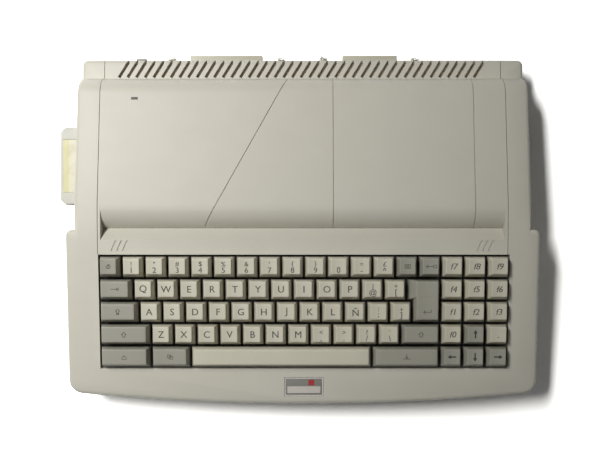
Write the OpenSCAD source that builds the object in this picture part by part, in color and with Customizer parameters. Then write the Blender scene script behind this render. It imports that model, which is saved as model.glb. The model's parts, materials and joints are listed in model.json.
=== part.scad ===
// Home computer with a full keyboard, a slanted rear hump and a cartridge bay.
// Millimetres. +X is to the right, +Y to the rear, +Z up.
// The origin is on the underside of the case, in the middle of its width and depth.

/* [Case] */
// Width of the case beside the keyboard's well, at each side
front_margin = 26.65; // [26:0.05:29]
// Width of the step at each shoulder
shoulder_step = 7.5; // [7:0.1:9]
// Distance of the shoulders behind the ridge
shoulder_back = 8.7; // [8:0.1:10]
// Radius of the inner corners at the shoulders
shoulder_r = 5; // [4:0.5:7]
// Depth of the apron between the keyboard's well and the front edge
apron = 30.95; // [29:0.05:32]
// Distance from the ridge to the rear wall
hump_d = 156.5; // [152:0.1:160]
// Thickness of the moulded walls
wall = 2.6; // [2:0.1:3.2]
// Height of the joint line between the lower and upper case
parting_z = 18; // [16:0.5:20]
// Radius of the long bow of the front edge
bow_r = 2000; // [1500:50:4000]
// Radius of the front corners, seen from above
front_corner_r = 12; // [8:1:18]
// Radius of the rear corners, seen from above
rear_corner_r = 5; // [3:0.5:8]
// Rounding of the outer top edges
edge_r = 3.5; // [2:0.5:5]
// Number of steps in the rounding of the top edges
round_steps = 3; // [2:1:4]
// Height of the sloping rim round the underside
rim_h = 6; // [5:0.5:8]
// Shadow gap between the lower and upper case
reveal = 0.4; // [0.3:0.1:0.6]
// Slope of the underside's rim, seen in width
foot_taper = 4; // [2:0.5:6]

/* [Hump] */
// Height of the flat vent strip at the rear
strip_z = 31; // [29:0.5:34]
// Depth of the vent strip
strip_depth = 16.8; // [15:0.2:18]
// Height of the hump where it rolls over to the front
hump_front_z = 57.6; // [56:0.2:60]
// Slope of the hump's top
hump_tilt = 5.7; // [5:0.1:6.5]
// Radius of the roll-over at the front of the hump
roll_r = 20; // [17:0.5:22]
// Steepest angle of the roll-over
roll_end = 65; // [60:1:68]
// Distance from the ridge to the start of the roll-over
trough_d = 30.2; // [29:0.1:32]
// Height of the ridge between the trough and the keyboard
ridge_z = 57; // [56:0.2:58.5]
// Thickness of the trough, measured straight down
trough_wall = 4; // [3.5:0.1:4.5]

/* [Cover] */
// Width of a cheek beside the centre cover
cheek_w = 20.1; // [19:0.1:21]
// Gap along the seam between the cover and the cheeks
seam_gap = 0.4; // [0.3:0.05:0.6]
// Thickness of the cover's side flanges
flange_t = 2.2; // [1.8:0.1:2.6]
// Depth of the cover's side flanges below the surface
flange_depth = 12; // [11.8:0.1:12.4]
// Thickness of the rails that carry the cover
rail_t = 1.8; // [1.6:0.1:2.2]
// Height of the lip under the cover's rear edge
rear_lip_z = 25; // [24:0.5:26]
// Number of cooling slots
vent_count = 42; // [30:1:44]
// Distance between neighbouring cooling slots
vent_pitch = 7.53; // [7:0.01:7.6]
// Width of one cooling slot
vent_w = 2.6; // [1.8:0.1:3]
// Slant of the cooling slots from straight back
vent_slant = 32; // [20:1:36]
// Distance from the foot of the crest to the cooling slots
vent_start = 1.4; // [1:0.1:2]
// Height of the floor of the cooling slots
vent_floor = 27.5; // [27:0.1:27.8]
// Width of the shallow styling grooves
groove_w = 0.9; // [0.6:0.1:1.2]
// Depth of the shallow styling grooves
groove_depth = 0.6; // [0.4:0.1:0.9]
// Distance of the left straight groove to the right of the middle
groove_left_x = 26; // [20:1:32]
// Distance of the right straight groove from the cover's edge
groove_edge = 26.9; // [24:0.1:30]
// Distance of the diagonal groove's front end to the left of the middle
diagonal_left = 83.5; // [78:0.5:88]
// Slant of the diagonal groove from straight back
diagonal_slant = 28.9; // [26:0.1:31]

/* [Marks, lamp and badge] */
// Distance of the middle mark from the cover's edge
mark_edge = 18.4; // [17:0.1:20]
// Distance between neighbouring marks
mark_pitch = 4.8; // [4:0.1:5]
// Width of a mark
mark_w = 1.8; // [1:0.1:2]
// Length of a mark
mark_len = 9.5; // [8:0.5:10]
// Distance of the marks from the keyboard's well
mark_gap = 3; // [2:0.1:3.5]
// Slant of the marks
mark_slant = 24; // [18:1:28]
// Distance of the lamp from the cover's left edge
lamp_edge = 29.2; // [28:0.1:32]
// Distance of the lamp from the vent strip
lamp_forward = 19.7; // [18:0.1:22]
// Width of the lamp's window
lamp_w = 5.4; // [4.6:0.1:6]
// Depth of the lamp's window
lamp_d = 1.9; // [1.6:0.1:2.4]
// Fit of the lamp in its window
lamp_fit = 0.1; // [0.05:0.05:0.2]
// Width of the badge plate
badge_w = 33; // [30:1:36]
// Depth of the badge plate
badge_d = 16; // [14:0.5:17]
// Distance of the badge plate from the keyboard's well
badge_gap = 7.85; // [7:0.05:8.5]
// Depth of the badge's recess
badge_depth = 1.2; // [1:0.1:1.5]
// Thickness of the badge plate
badge_t = 0.9; // [0.6:0.1:1]

/* [Keyboard] */
// Slope of the keyboard and of the case round it
key_tilt = 5.2; // [4.6:0.1:6]
// Distance from one key to the next
key_pitch = 19.1; // [19:0.05:19.2]
// Gap between neighbouring keycaps
key_gap = 1.1; // [0.9:0.1:1.6]
// Gap between the outer keycaps and the edge of the well
well_gap = 1.5; // [1.2:0.1:2]
// Distance of the key field to the right of the middle
key_shift = 1; // [0:0.1:1.5]
// Distance from the ridge to the well, along the slope
ridge_land = 12.4; // [12:0.1:13.5]
// Height of a keycap
cap_h = 10.8; // [10:0.1:11.5]
// How far the keycaps stand above the case
cap_proud = 10; // [9.2:0.1:10.6]
// Wall of a keycap
cap_wall = 1.3; // [1.1:0.1:1.5]
// Taper of a keycap's left and right sides
side_taper = 2.5; // [2:0.1:2.8]
// Taper of a keycap's front
front_taper = 4.3; // [3.5:0.1:4.5]
// Taper of a keycap's rear
rear_taper = 0.7; // [0.6:0.1:1.4]
// Depth of the hollow in a keycap's top
dish_depth = 0.6; // [0.4:0.1:0.8]
// Travel of the keys
key_travel = 3.6; // [3:0.1:3.8]
// Radius of a key's plunger
plunger_r = 2.8; // [2.4:0.1:3.2]
// Running clearance round a plunger
plunger_clear = 0.3; // [0.25:0.05:0.4]
// Thickness of the key plate
plate_t = 1.6; // [1.4:0.1:2]
// Depth of the well's skirt below the surface of the case
skirt_depth = 8.6; // [8.4:0.1:9.2]
// Thickness of the well's skirt
skirt_t = 1.8; // [1.6:0.1:2]

/* [Feet and screws] */
// Height of the rubber feet
foot_h = 2; // [1.5:0.1:3]
// Distance of the front feet from the front edge
foot_front = 36; // [32:1:40]
// Distance of the front feet from the sides of the front section
foot_side = 34.5; // [30:0.5:38]
// Distance of the rear feet from the rear wall
foot_rear = 26; // [20:1:32]
// Distance of the rear feet from the sides of the rear section
foot_rear_side = 31; // [26:1:36]
// Depth of the recess that each foot is glued into
foot_seat = 0.8; // [0.6:0.1:1]
// Clearance round a foot in its recess
foot_clear = 0.2; // [0.1:0.1:0.4]
// Radius of the rubber feet
foot_r = 7; // [5:0.5:9]
// Radius of the screw shanks
screw_r = 1.5; // [1.25:0.05:1.75]
// Radius of the screw heads
screw_head_r = 3; // [2.6:0.1:3.4]
// Radial clearance of a screw in the lower case
screw_clear = 0.3; // [0.2:0.05:0.4]
// Outer radius of the screw posts
post_r = 4.6; // [4.2:0.1:5.2]
// Distance of the front screws from the front edge
screw_front = 17; // [15:1:20]
// Distance of the side screws from the sides of the front section
screw_side = 12.5; // [11:0.5:14]
// Distance of the side screws in front of the ridge
screw_back = 22.3; // [20:0.1:24]
// Distance of the rear screws from the rear section's walls
screw_corner = 9; // [8:0.5:10]
// Height of the lower screw posts
boss_top = 14; // [13:0.5:15]
// Height of the screw heads' seats
screw_seat = 6; // [5:0.5:7]
// Length of the screws below the head
screw_len = 18; // [16:0.5:18.5]
// Depth of the threaded cores in the upper posts
core_depth = 11; // [10.8:0.1:12]

/* [Board] */
// Height of the main board above the underside
board_z = 4; // [3.6:0.1:4.2]
// Thickness of the main board
board_t = 1.6; // [1.4:0.1:1.7]
// Distance of the main board from the side wall
board_gap = 7; // [6.5:0.5:9]
// Distance of the main board from the disc drive
board_to_drive = 3; // [2:0.5:5]
// Height of the chips
chip_h = 3.6; // [2.5:0.1:4]

// Width of the slots in the floor
floor_slot_w = 3.5; // [2.5:0.5:5]
// Distance between neighbouring slots in the floor
floor_slot_pitch = 12; // [9:1:14]
// Length of the slots in the floor
floor_slot_len = 50; // [40:5:60]
// Number of slots in the floor
floor_slots = 10; // [6:1:14]
// Distance of the slots in the floor from the front edge
floor_slot_front = 58; // [50:1:70]

/* [Cartridge] */
// Width of the cartridge
cart_w = 68; // [60:1:72]
// Length of the cartridge
cart_len = 76; // [72:1:80]
// Thickness of the cartridge
cart_t = 17; // [15:0.5:18]
// How far the plugged-in cartridge stands out of the case
cart_proud = 19.8; // [16:0.2:22]
// Distance of the cartridge's middle from the rear wall
cart_in = 92; // [91:0.5:95]
// Height of the cartridge's lower face above the underside
cart_z = 9.4; // [9:0.1:10]
// Clearance between the cartridge and its slot
cart_clear = 0.5; // [0.4:0.05:0.8]
// Size of the cut-off outer corners
cart_bevel = 4; // [3:0.5:6]
// Distance of the label from the cartridge's outer end
label_edge = 2.5; // [2:0.1:4]
// Length of the label
label_len = 44; // [40:1:48]
// Width of the label
label_w = 46; // [42:1:50]
// Reach of the cartridge's board into its socket
edge_reach = 7; // [6:0.5:8]

/* [Joystick sockets] */
// Distance of the rear joystick socket from the rear wall
joystick_in = 24; // [23.5:0.5:26]
// Distance between the joystick sockets
joystick_pitch = 21; // [20:0.5:21.5]
// Height of the joystick sockets above the underside
joystick_z = 12; // [11:0.5:12.5]

/* [Disc drive] */
// Width of the drive and its bezel
drive_w = 104; // [100:1:108]
// Height of the drive's bezel
drive_h = 29; // [28:0.5:29.5]
// Length of the drive behind its bezel
drive_len = 140; // [120:1:144]
// Distance of the drive in front of the middle of the side wall
drive_forward = 8.5; // [6:0.5:9.5]
// Height of the drive above the underside
drive_z = 5; // [4.6:0.1:5.2]
// Width of the disc slot
slot_w = 84; // [82:1:88]
// Height of the disc slot
slot_h = 6.6; // [6:0.1:8]
// Width of the eject button
eject_w = 15; // [12:1:16]
// Travel of the eject button
eject_travel = 5; // [4:0.5:6]
// Height of the eject button
eject_h = 5.4; // [4:0.1:6]
// Distance of the eject button from the drive's rear side
eject_in = 16; // [14:0.5:18]
// Height of the eject button above the drive's lower side
eject_rise = 7.5; // [6.5:0.1:8]
// Distance between the drive's lamp and the eject button
drive_lamp_gap = 16; // [13:0.5:20]
// Thickness of the bezel
bezel_t = 4; // [3.5:0.1:5]
// Radius of the flap's hinge pins
flap_pin_r = 0.8; // [0.7:0.05:0.9]

/* [Rear sockets] */
// Width of the expansion socket's shell
expansion_w = 64; // [60:1:68]
// Width of the printer socket's shell
printer_w = 48; // [44:1:52]
// Height of the ribbon sockets' shells
shell_h = 11; // [10:0.5:12]
// How far the ribbon sockets stand behind the rear wall
shell_proud = 6.5; // [5:0.5:8]
// Middle of the expansion socket, from the middle of the case
expansion_x = -67.5; // [-72:0.5:-62]
// Middle of the printer socket, from the middle of the case
printer_x = 59.5; // [56:0.5:66]
// Height of the ribbon sockets' middle above the underside
shell_z = 11.6; // [11.4:0.1:12]
// Distance of the bails' pins beside the shells
pin_reach = 15.5; // [15:0.1:16]
// Thickness of the ears
ear_t = 1.6; // [1.2:0.1:2]
// Thickness of the sockets' shells
shell_t = 1; // [0.8:0.1:1.2]
// Depth of the sockets' hollow
shell_deep = 9; // [8:0.5:10]
// Width of the lugs that hold the bails
lug_w = 4; // [3.6:0.1:4.2]
// Distance of the bails' pins behind the ears
lug_pin = 1.7; // [1.5:0.1:2]
// Thickness of the wire of the bails
bail_wire = 1.6; // [1.2:0.1:1.8]
// Half the height of the bails
bail_h = 4.4; // [4.1:0.1:4.8]
// Reach of the bails
bail_reach = 8.6; // [8:0.1:10]
// Length of the bails' hooks
hook_reach = 5.6; // [5:0.1:5.7]
// Angle between a bail's arm and its hook
hook_turn = 19; // [16:1:22]
// Angle of a folded bail from straight back
bail_folded = 92; // [80:1:92]
// Angle of the opened bail from straight back
bail_open = 50; // [20:1:60]
// Height of the round sockets' middle above the underside
jack_z = 11; // [10.5:0.1:12]
// Radius of the monitor socket
monitor_r = 7; // [6:0.5:7.5]
// Distance of the monitor socket from the right side
monitor_edge = 79; // [76:1:82]
// Distance of the power jack from the right side
power_edge = 57; // [54:1:59]
// Distance of the headphone jack from the right side
phones_edge = 39; // [37:1:42]

/* [Power switch] */
// Distance of the power switch from the left side
switch_edge = 49; // [46:1:52]
// Height of the power switch above the underside
switch_z = 11; // [10.8:0.1:12]
// Width and height of the power switch's button
switch_w = 9; // [8:0.5:10]
// Clearance round the button
switch_clear = 0.4; // [0.3:0.05:0.6]
// How far the button stands behind the rear wall
switch_proud = 4; // [3.5:0.1:5]

/* [Hidden] */
$fn = 48;
cut = 1;

cream = [0.80, 0.78, 0.71];
key_cream = [0.80, 0.78, 0.71];
key_grey = [0.60, 0.60, 0.56];
dark = [0.12, 0.12, 0.12];
steel = [0.72, 0.72, 0.70];

well_w = 18 * key_pitch - key_gap + 2 * well_gap;
well_d = 5 * key_pitch - key_gap + 2 * well_gap;
well_rear = -ridge_land;
well_front = well_rear - well_d;
front_w = well_w + 2 * front_margin;
rear_w = front_w - 2 * shoulder_step;
case_depth = (ridge_land + well_d) * cos(key_tilt) + apron + hump_d;
rear_y = case_depth / 2;
front_y = -case_depth / 2;
strip_y = rear_y - strip_depth;
ridge_y = rear_y - hump_d;
shoulder_y = ridge_y + shoulder_back;
hump_front_y = ridge_y + trough_d;
cover_half = rear_w / 2 - cheek_w;
bow_cy = front_y + bow_r;
corner_x = front_w / 2 - front_corner_r;
corner_y = bow_cy - sqrt(pow(bow_r - front_corner_r, 2) - pow(corner_x, 2));
tangent = atan2(corner_y - bow_cy, corner_x);

// The crest is an arc from the vent strip up into the hump's slope.
hump_line_z = hump_front_z - (strip_y - hump_front_y) * tan(hump_tilt);
crest_r = (hump_line_z - strip_z) * cos(hump_tilt) / (1 - sin(hump_tilt));
crest_cy = strip_y - crest_r;
// The roll-over is tangent to the hump's slope and ends in the valley.
roll_cy = hump_front_y - roll_r * sin(hump_tilt);
roll_cz = hump_front_z - roll_r * cos(hump_tilt);
valley_y = roll_cy + roll_r * cos(90 + roll_end);

inner_half = cover_half - flange_t;
cap_low = cap_proud - cap_h;
plate_top = -skirt_depth;
guide_r = plunger_r + plunger_clear;
guide_h = 3;
guide_end = plate_top - plate_t - guide_h;
collar_h = 6;
sheet_top = guide_end - collar_h;
sheet_t = 1.2;
plunger_end = sheet_top + key_travel + 0.5;
plate_edge = 6;

shoulder_z = ridge_z + (shoulder_y - ridge_y) * (hump_front_z - ridge_z) / (hump_front_y - ridge_y);
well_edge_y = ridge_y - ridge_land * cos(key_tilt);
SCREW_PLACES = [
    [-front_w / 4, front_y + screw_front], [front_w / 4, front_y + screw_front],
    [screw_side - front_w / 2, ridge_y - screw_back], [front_w / 2 - screw_side, ridge_y - screw_back],
    [screw_corner - rear_w / 2, rear_y - screw_corner],
    [rear_w / 2 - screw_corner, rear_y - screw_corner]];
FOOT_PLACES = [
    [foot_side - front_w / 2, front_y + foot_front],
    [front_w / 2 - foot_side, front_y + foot_front],
    [foot_rear_side - rear_w / 2, rear_y - foot_rear],
    [rear_w / 2 - foot_rear_side, rear_y - foot_rear]];

GROOVE_X = [groove_left_x, cover_half - groove_edge];
mark_x = cover_half - mark_edge;
lamp_x = lamp_edge - cover_half;
lamp_y = strip_y - lamp_forward;
badge_front = well_front - badge_gap - badge_d;

monitor_x = rear_w / 2 - monitor_edge;
power_x = rear_w / 2 - power_edge;
phones_x = rear_w / 2 - phones_edge;
switch_x = switch_edge - rear_w / 2;

cart_y = rear_y - cart_in;
cart_x0 = -rear_w / 2 - cart_proud;
cart_x1 = cart_x0 + cart_len;
JOYSTICK_Y = [rear_y - joystick_in - joystick_pitch, rear_y - joystick_in];

drive_y = (shoulder_y + rear_y) / 2 - drive_forward;
bezel_x = rear_w / 2;
bezel_back = bezel_x - bezel_t;
slot_z = drive_z + drive_h * 0.62;
hinge_x = bezel_back - 1.4;
hinge_z = slot_z + slot_h / 2 + 0.9;
eject_y = drive_y + drive_w / 2 - eject_in;
eject_z = drive_z + eject_rise;
drive_lamp_y = eject_y - drive_lamp_gap;

board_half = rear_w / 2 - board_gap;
board_right = bezel_back - drive_len - board_to_drive;
// Chips on the board: middle, width and depth.
CHIPS = [
    [board_right - 104, cart_y + 4, 34, 34], [board_right - 54, cart_y + 4, 52, 15],
    [board_right - 54, cart_y + 39, 52, 15], [board_right - 104, cart_y + 54, 36, 14],
    [board_right - 24, ridge_y + 32.7, 30, 10], [board_right - 64, ridge_y + 32.7, 30, 10]];

// Key sets: name, colour, and for each key its first unit from the left, its row and its width.
KEY_SETS = [
    ["escape_key", key_grey, [[0, 0, 1]]],
    ["digit_keys_left", key_cream, [[1, 0, 1], [2, 0, 1], [3, 0, 1], [4, 0, 1]]],
    ["digit_keys_middle", key_cream, [[5, 0, 1], [6, 0, 1], [7, 0, 1], [8, 0, 1]]],
    ["digit_keys_right", key_cream, [[9, 0, 1], [10, 0, 1], [11, 0, 1], [12, 0, 1]]],
    ["clear_key", key_grey, [[13, 0, 1]]],
    ["delete_key", key_grey, [[14, 0, 1]]],
    ["tab_key", key_grey, [[0, 1, 1.5]]],
    ["top_letters_left", key_cream, [[1.5, 1, 1], [2.5, 1, 1], [3.5, 1, 1], [4.5, 1, 1]]],
    ["top_letters_middle", key_cream, [[5.5, 1, 1], [6.5, 1, 1], [7.5, 1, 1], [8.5, 1, 1]]],
    ["top_letters_right", key_cream, [[9.5, 1, 1], [10.5, 1, 1], [11.5, 1, 1], [12.5, 1, 1]]],
    ["return_key", key_grey, []],
    ["caps_lock_key", key_grey, [[0, 2, 1.75]]],
    ["home_letters_left", key_cream, [[1.75, 2, 1], [2.75, 2, 1], [3.75, 2, 1], [4.75, 2, 1]]],
    ["home_letters_middle", key_cream, [[5.75, 2, 1], [6.75, 2, 1], [7.75, 2, 1], [8.75, 2, 1]]],
    ["home_letters_right", key_cream, [[9.75, 2, 1], [10.75, 2, 1], [11.75, 2, 1], [12.75, 2, 1]]],
    ["shift_key_left", key_grey, [[0, 3, 2.25]]],
    ["low_letters_left", key_cream, [[2.25, 3, 1], [3.25, 3, 1], [4.25, 3, 1], [5.25, 3, 1]]],
    ["low_letters_middle", key_cream, [[6.25, 3, 1], [7.25, 3, 1], [8.25, 3, 1], [9.25, 3, 1]]],
    ["low_letters_right", key_cream, [[10.25, 3, 1], [11.25, 3, 1], [12.25, 3, 1]]],
    ["shift_key_right", key_grey, [[13.25, 3, 1.75]]],
    ["control_key", key_grey, [[0, 4, 2.25]]],
    ["copy_key", key_grey, [[2.25, 4, 1.75]]],
    ["space_bar", key_cream, [[4, 4, 8]]],
    ["enter_key", key_grey, [[12, 4, 3]]],
    ["function_keys_left", key_cream, [[15, 0, 1], [15, 1, 1], [15, 2, 1], [15, 3, 1]]],
    ["function_keys_middle", key_cream, [[16, 0, 1], [16, 1, 1], [16, 2, 1]]],
    ["function_keys_right", key_cream, [[17, 0, 1], [17, 1, 1], [17, 2, 1], [17, 3, 1]]],
    ["cursor_up_key", key_grey, [[16, 3, 1]]],
    ["cursor_left_key", key_grey, [[15, 4, 1]]],
    ["cursor_down_key", key_grey, [[16, 4, 1]]],
    ["cursor_right_key", key_grey, [[17, 4, 1]]]];

function arc(cx, cy, r, from, to, n, skip = 0) =
    [for (i = [skip:n - skip]) let (a = from + (to - from) * i / n) [cx + r * cos(a), cy + r * sin(a)]];

// Outline of the front section, seen from above, drawn in by d.
function front_plan(d) = concat(
    arc(front_w / 2 - shoulder_r, shoulder_y - shoulder_r, shoulder_r - d, 0, 90, 4),
    arc(-front_w / 2 + shoulder_r, shoulder_y - shoulder_r, shoulder_r - d, 90, 180, 4),
    arc(-corner_x, corner_y, front_corner_r - d, 180, 180 - tangent, 6),
    arc(0, bow_cy, bow_r - d, 180 - tangent, 360 + tangent, 20, 1),
    arc(corner_x, corner_y, front_corner_r - d, 360 + tangent, 360, 6));

// Outline of the rear section, seen from above, drawn in by d.
function rear_plan(d) = concat(
    arc(rear_w / 2 - rear_corner_r, rear_y - rear_corner_r, rear_corner_r - d, 0, 90, 6),
    arc(-rear_w / 2 + rear_corner_r, rear_y - rear_corner_r, rear_corner_r - d, 90, 180, 6),
    [[-rear_w / 2 + d, ridge_y], [rear_w / 2 - d, ridge_y]]);

// Height of the keyboard slope at a distance y from the middle of the depth.
function slope_z(y) = ridge_z + (y - ridge_y) * tan(key_tilt);

// The case's top line from front to rear, sunk by d below the surface.
function top_line(d) = concat(
    [[front_y - cut, slope_z(front_y - cut) - d], [ridge_y, ridge_z - d]],
    [[hump_front_y, hump_front_z - d]],
    arc(crest_cy, strip_z, crest_r - d, 90 - hump_tilt, 0, 12),
    [[strip_y - d, strip_z - d]],
    d < edge_r ? arc(rear_y - edge_r, strip_z - edge_r, edge_r - d, 90, 0, round_steps)
        : [[rear_y - wall, strip_z - d]]);

// Draws an outline of Y and Z across the case, w wide and centred on x.
module across(w, x = 0)
    translate([x - w / 2, 0, 0]) rotate([90, 0, 90]) linear_extrude(w) children();

// Everything under the top line, sunk by d.
module under_top(d)
    polygon(concat(top_line(d), [[rear_y - min(d, wall), -cut], [front_y - cut, -cut]]));

// The trough between the hump and the keyboard, sunk by d.
module trough(d)
    translate([0, -d]) polygon(concat(
        [[ridge_y, ridge_z], [ridge_y, ridge_z + 20], [hump_front_y, ridge_z + 20]],
        arc(roll_cy, roll_cz, roll_r, 90 - hump_tilt, 90 + roll_end, 12)));

// Moves its children onto the keyboard slope, with the ridge as the origin.
module on_slope() translate([0, ridge_y, ridge_z]) rotate([key_tilt, 0, 0]) children();

module block(x0, x1, y0, y1, z0, z1) translate([x0, y0, z0]) cube([x1 - x0, y1 - y0, z1 - z0]);

// ---- Shell of the case ----

// Inset and drop of the rounded top edge, step i of round_steps.
function round_in(i) = edge_r * (1 - cos(90 * i / round_steps));
function round_down(i) = edge_r * (1 - sin(90 * i / round_steps));

module front_block() hull() for (i = [0:round_steps])
    intersection() {
        translate([0, 0, parting_z]) linear_extrude(60) polygon(front_plan(round_in(i)));
        across(front_w) polygon([
            [front_y - cut, 0], [front_y - cut, slope_z(front_y - cut) - round_down(i)],
            [ridge_y, ridge_z - round_down(i)], [shoulder_y + cut, shoulder_z - round_down(i)],
            [shoulder_y + cut, 0]]);
    }

module hump_block() hull() for (i = [0:round_steps])
    intersection() {
        translate([0, 0, parting_z]) linear_extrude(60) polygon(rear_plan(round_in(i)));
        across(rear_w) polygon(concat(
            [[ridge_y, 0], [ridge_y, ridge_z - round_down(i)], [hump_front_y, hump_front_z - round_down(i)]],
            arc(crest_cy, strip_z, crest_r - round_down(i), 90 - hump_tilt, 0, 12),
            [[strip_y - round_down(i), 0]]));
    }

module strip_block() hull() for (i = [0:round_steps])
    intersection() {
        translate([0, 0, parting_z]) linear_extrude(60) polygon(rear_plan(round_in(i)));
        block(-rear_w, rear_w, crest_cy, rear_y + cut, 0, strip_z - round_down(i));
    }

// Space inside the closed case, w in from its outer surface.
module cavity(w) intersection() {
    union() {
        linear_extrude(80) polygon(front_plan(w));
        linear_extrude(80) polygon(rear_plan(w));
    }
    across(front_w) under_top(w);
}

// The opening in the cheeks that the centre cover fills.
module cover_opening() difference() {
    block(-cover_half - seam_gap, cover_half + seam_gap, well_edge_y - 40, rear_y + cut, rear_lip_z, 90);
    on_slope() block(-front_w, front_w, -200, well_rear - 0.01, -60, 60);
}

module well_box(grow, low, high)
    block(key_shift - well_w / 2 - grow, key_shift + well_w / 2 + grow,
        well_front - grow, well_rear + grow, low, high);

// Room for the key plate under the cover and the cheeks.
module plate_room() on_slope()
    well_box(plate_edge + 0.5, plate_top - 40, plate_top);

// The band along the inside of the cheeks that carries the centre cover.
module cheek_rail(side) {
    outer_x = side * (cover_half + seam_gap);
    rail_reach = cover_half + seam_gap + rail_t / 2 - inner_half - 0.3;
    difference() {
        union() {
            translate([outer_x + side * rail_t / 2, 0, 0]) across(rail_t) difference() {
                under_top(wall - 0.5);
                under_top(flange_depth + rail_t + 0.2);
            }
            translate([side * (inner_half + 0.3 + rail_reach / 2), 0, 0]) across(rail_reach)
                difference() {
                    under_top(flange_depth + 0.2);
                    under_top(flange_depth + rail_t + 0.2);
                }
        }
        on_slope() block(-front_w, front_w, -200, well_rear, -60, 60);
        plate_room();
        block(-front_w, front_w, rear_y - wall - 0.4, rear_y + cut, -2 * cut, 90);
    }
}

module skirt() on_slope() difference() {
    well_box(skirt_t, -skirt_depth, -1);
    well_box(0, -skirt_depth - cut, 0);
    block(-front_w, front_w, well_rear, 0, -60, 60);
}

module screw_posts() for (p = SCREW_PLACES)
    intersection() {
        translate([p[0], p[1], boss_top]) cylinder(r = post_r, h = 60);
        cavity(wall - 0.8);
    }

module screw_cores() for (p = SCREW_PLACES)
    translate([p[0], p[1], boss_top - cut]) cylinder(r = screw_r + 0.05, h = core_depth + cut);

module upper_case() color(cream) difference() {
    union() {
        difference() {
            union() {
                front_block();
                hump_block();
                strip_block();
            }
            cavity(wall);
            cover_opening();
            on_slope() well_box(0, -60, 60);
        }
        skirt();
        cheek_rail(1);
        cheek_rail(-1);
        screw_posts();
    }
    screw_cores();
    cartridge_slot();
    bezel_opening();
    rear_openings();
    badge_recess();
}

module rim_block(plan0, plan1) hull() {
    linear_extrude(0.5) polygon(plan1);
    translate([0, 0, rim_h]) linear_extrude(parting_z - reveal - rim_h) polygon(plan0);
}

module lower_case() color(cream) difference() {
    union() {
        difference() {
            union() {
                rim_block(front_plan(0), front_plan(foot_taper));
                rim_block(rear_plan(0), rear_plan(foot_taper));
            }
            translate([0, 0, wall]) linear_extrude(80) polygon(front_plan(wall + 1.4));
            translate([0, 0, wall]) linear_extrude(80) polygon(rear_plan(wall));
        }
        for (p = SCREW_PLACES) translate([p[0], p[1], 0]) cylinder(r = post_r, h = boss_top - 0.2);
        board_posts();
        drive_posts();
    }
    for (p = SCREW_PLACES) translate([p[0], p[1], -cut]) {
        cylinder(r = screw_head_r + screw_clear, h = screw_seat + cut);
        cylinder(r = screw_r + screw_clear, h = boss_top + 2 * cut);
    }
    for (p = FOOT_PLACES) translate([p[0], p[1], -cut])
        cylinder(r = foot_r + foot_clear, h = foot_seat + cut);
    cartridge_slot();
    bezel_opening();
    rear_openings();
    joystick_openings();
    floor_vents();
}

// ---- Centre cover ----

module cover_profile(d) difference() {
    under_top(d);
    trough(d);
}

// A thin band that follows the cover's surface, for grooves.
module groove_band() difference() {
    under_top(-cut);
    translate([0, -groove_depth]) cover_profile(0);
}

module vent_slots() for (i = [0:vent_count - 1])
    translate([(i - (vent_count - 1) / 2) * vent_pitch - tan(vent_slant) * strip_depth / 2,
        strip_y + vent_start, vent_floor])
        rotate([0, 0, -vent_slant]) block(-vent_w / 2, vent_w / 2, 0, 2 * strip_depth, 0, 20);

// Three slanted marks on the ridge, at each side.
module ridge_marks() on_slope() for (side = [-1, 1]) for (i = [-1:1])
    translate([side * mark_x + i * mark_pitch - mark_len / 2 * sin(mark_slant), -ridge_land + mark_gap, 0])
        rotate([0, 0, -mark_slant]) block(-mark_w / 2, mark_w / 2, 0, mark_len, -groove_depth, 5);

module hump_grooves() intersection() {
    union() {
        for (x = GROOVE_X) block(x - groove_w / 2, x + groove_w / 2, valley_y, strip_y, 0, 90);
        translate([-diagonal_left, valley_y, 0]) rotate([0, 0, -diagonal_slant])
            block(-groove_w / 2, groove_w / 2, 2, 200, 0, 90);
    }
    across(2 * inner_half) groove_band();
    block(-rear_w, rear_w, valley_y, strip_y - 0.5, 0, 90);
}

module lamp_window(grow) translate([lamp_x - lamp_w / 2 - grow, lamp_y - lamp_d / 2 - grow, strip_z])
    cube([lamp_w + 2 * grow, lamp_d + 2 * grow, 60]);

module centre_cover() color(cream) union() {
    difference() {
        across(2 * cover_half) under_top(0);
        across(2 * inner_half) trough(0);
        across(2 * inner_half) difference() {
            under_top(wall);
            trough(trough_wall);
        }
        across(2 * rear_w) under_top(flange_depth);
        on_slope() block(-front_w, front_w, -200, well_rear, -90, 90);
        block(-front_w, front_w, rear_y - wall - cut, rear_y + cut, -2 * cut, rear_lip_z + 0.2);
        plate_room();
        vent_slots();
        hump_grooves();
        ridge_marks();
        lamp_window(lamp_fit);
    }
    on_slope() block(-inner_half - 0.5, inner_half + 0.5, well_rear, well_rear + flange_t, -skirt_depth, -1);
}

module power_lamp() color([0.25, 0.05, 0.04]) union() {
    intersection() {
        lamp_window(0);
        across(rear_w) under_top(0.3);
        block(-rear_w, 0, 0, rear_y, 40, 60);
    }
    translate([lamp_x, lamp_y, strip_z + 4]) cylinder(r = 1.4, h = 9);
}

// ---- Feet, screws and badge ----

module rubber_feet() color(dark) for (p = FOOT_PLACES)
    translate([p[0], p[1], -foot_h]) cylinder(r = foot_r, h = foot_h + foot_seat);

module case_screws() color(steel) for (p = SCREW_PLACES) translate([p[0], p[1], 0]) difference() {
    union() {
        translate([0, 0, screw_seat - 2.2]) cylinder(r = screw_head_r, h = 2.2);
        translate([0, 0, screw_seat - 1]) cylinder(r = screw_r, h = screw_len + 1);
    }
    translate([0, 0, screw_seat - 3]) for (a = [0, 90]) rotate([0, 0, a])
        translate([-1.8, -0.35, 0]) cube([3.6, 0.7, 1.9]);
}

module badge_place(grow, low, high)
    on_slope() block(key_shift - badge_w / 2 - grow, key_shift + badge_w / 2 + grow,
        badge_front - grow, badge_front + badge_d + grow, low, high);

module badge_recess() badge_place(0.15, -badge_depth, 10);

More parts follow.
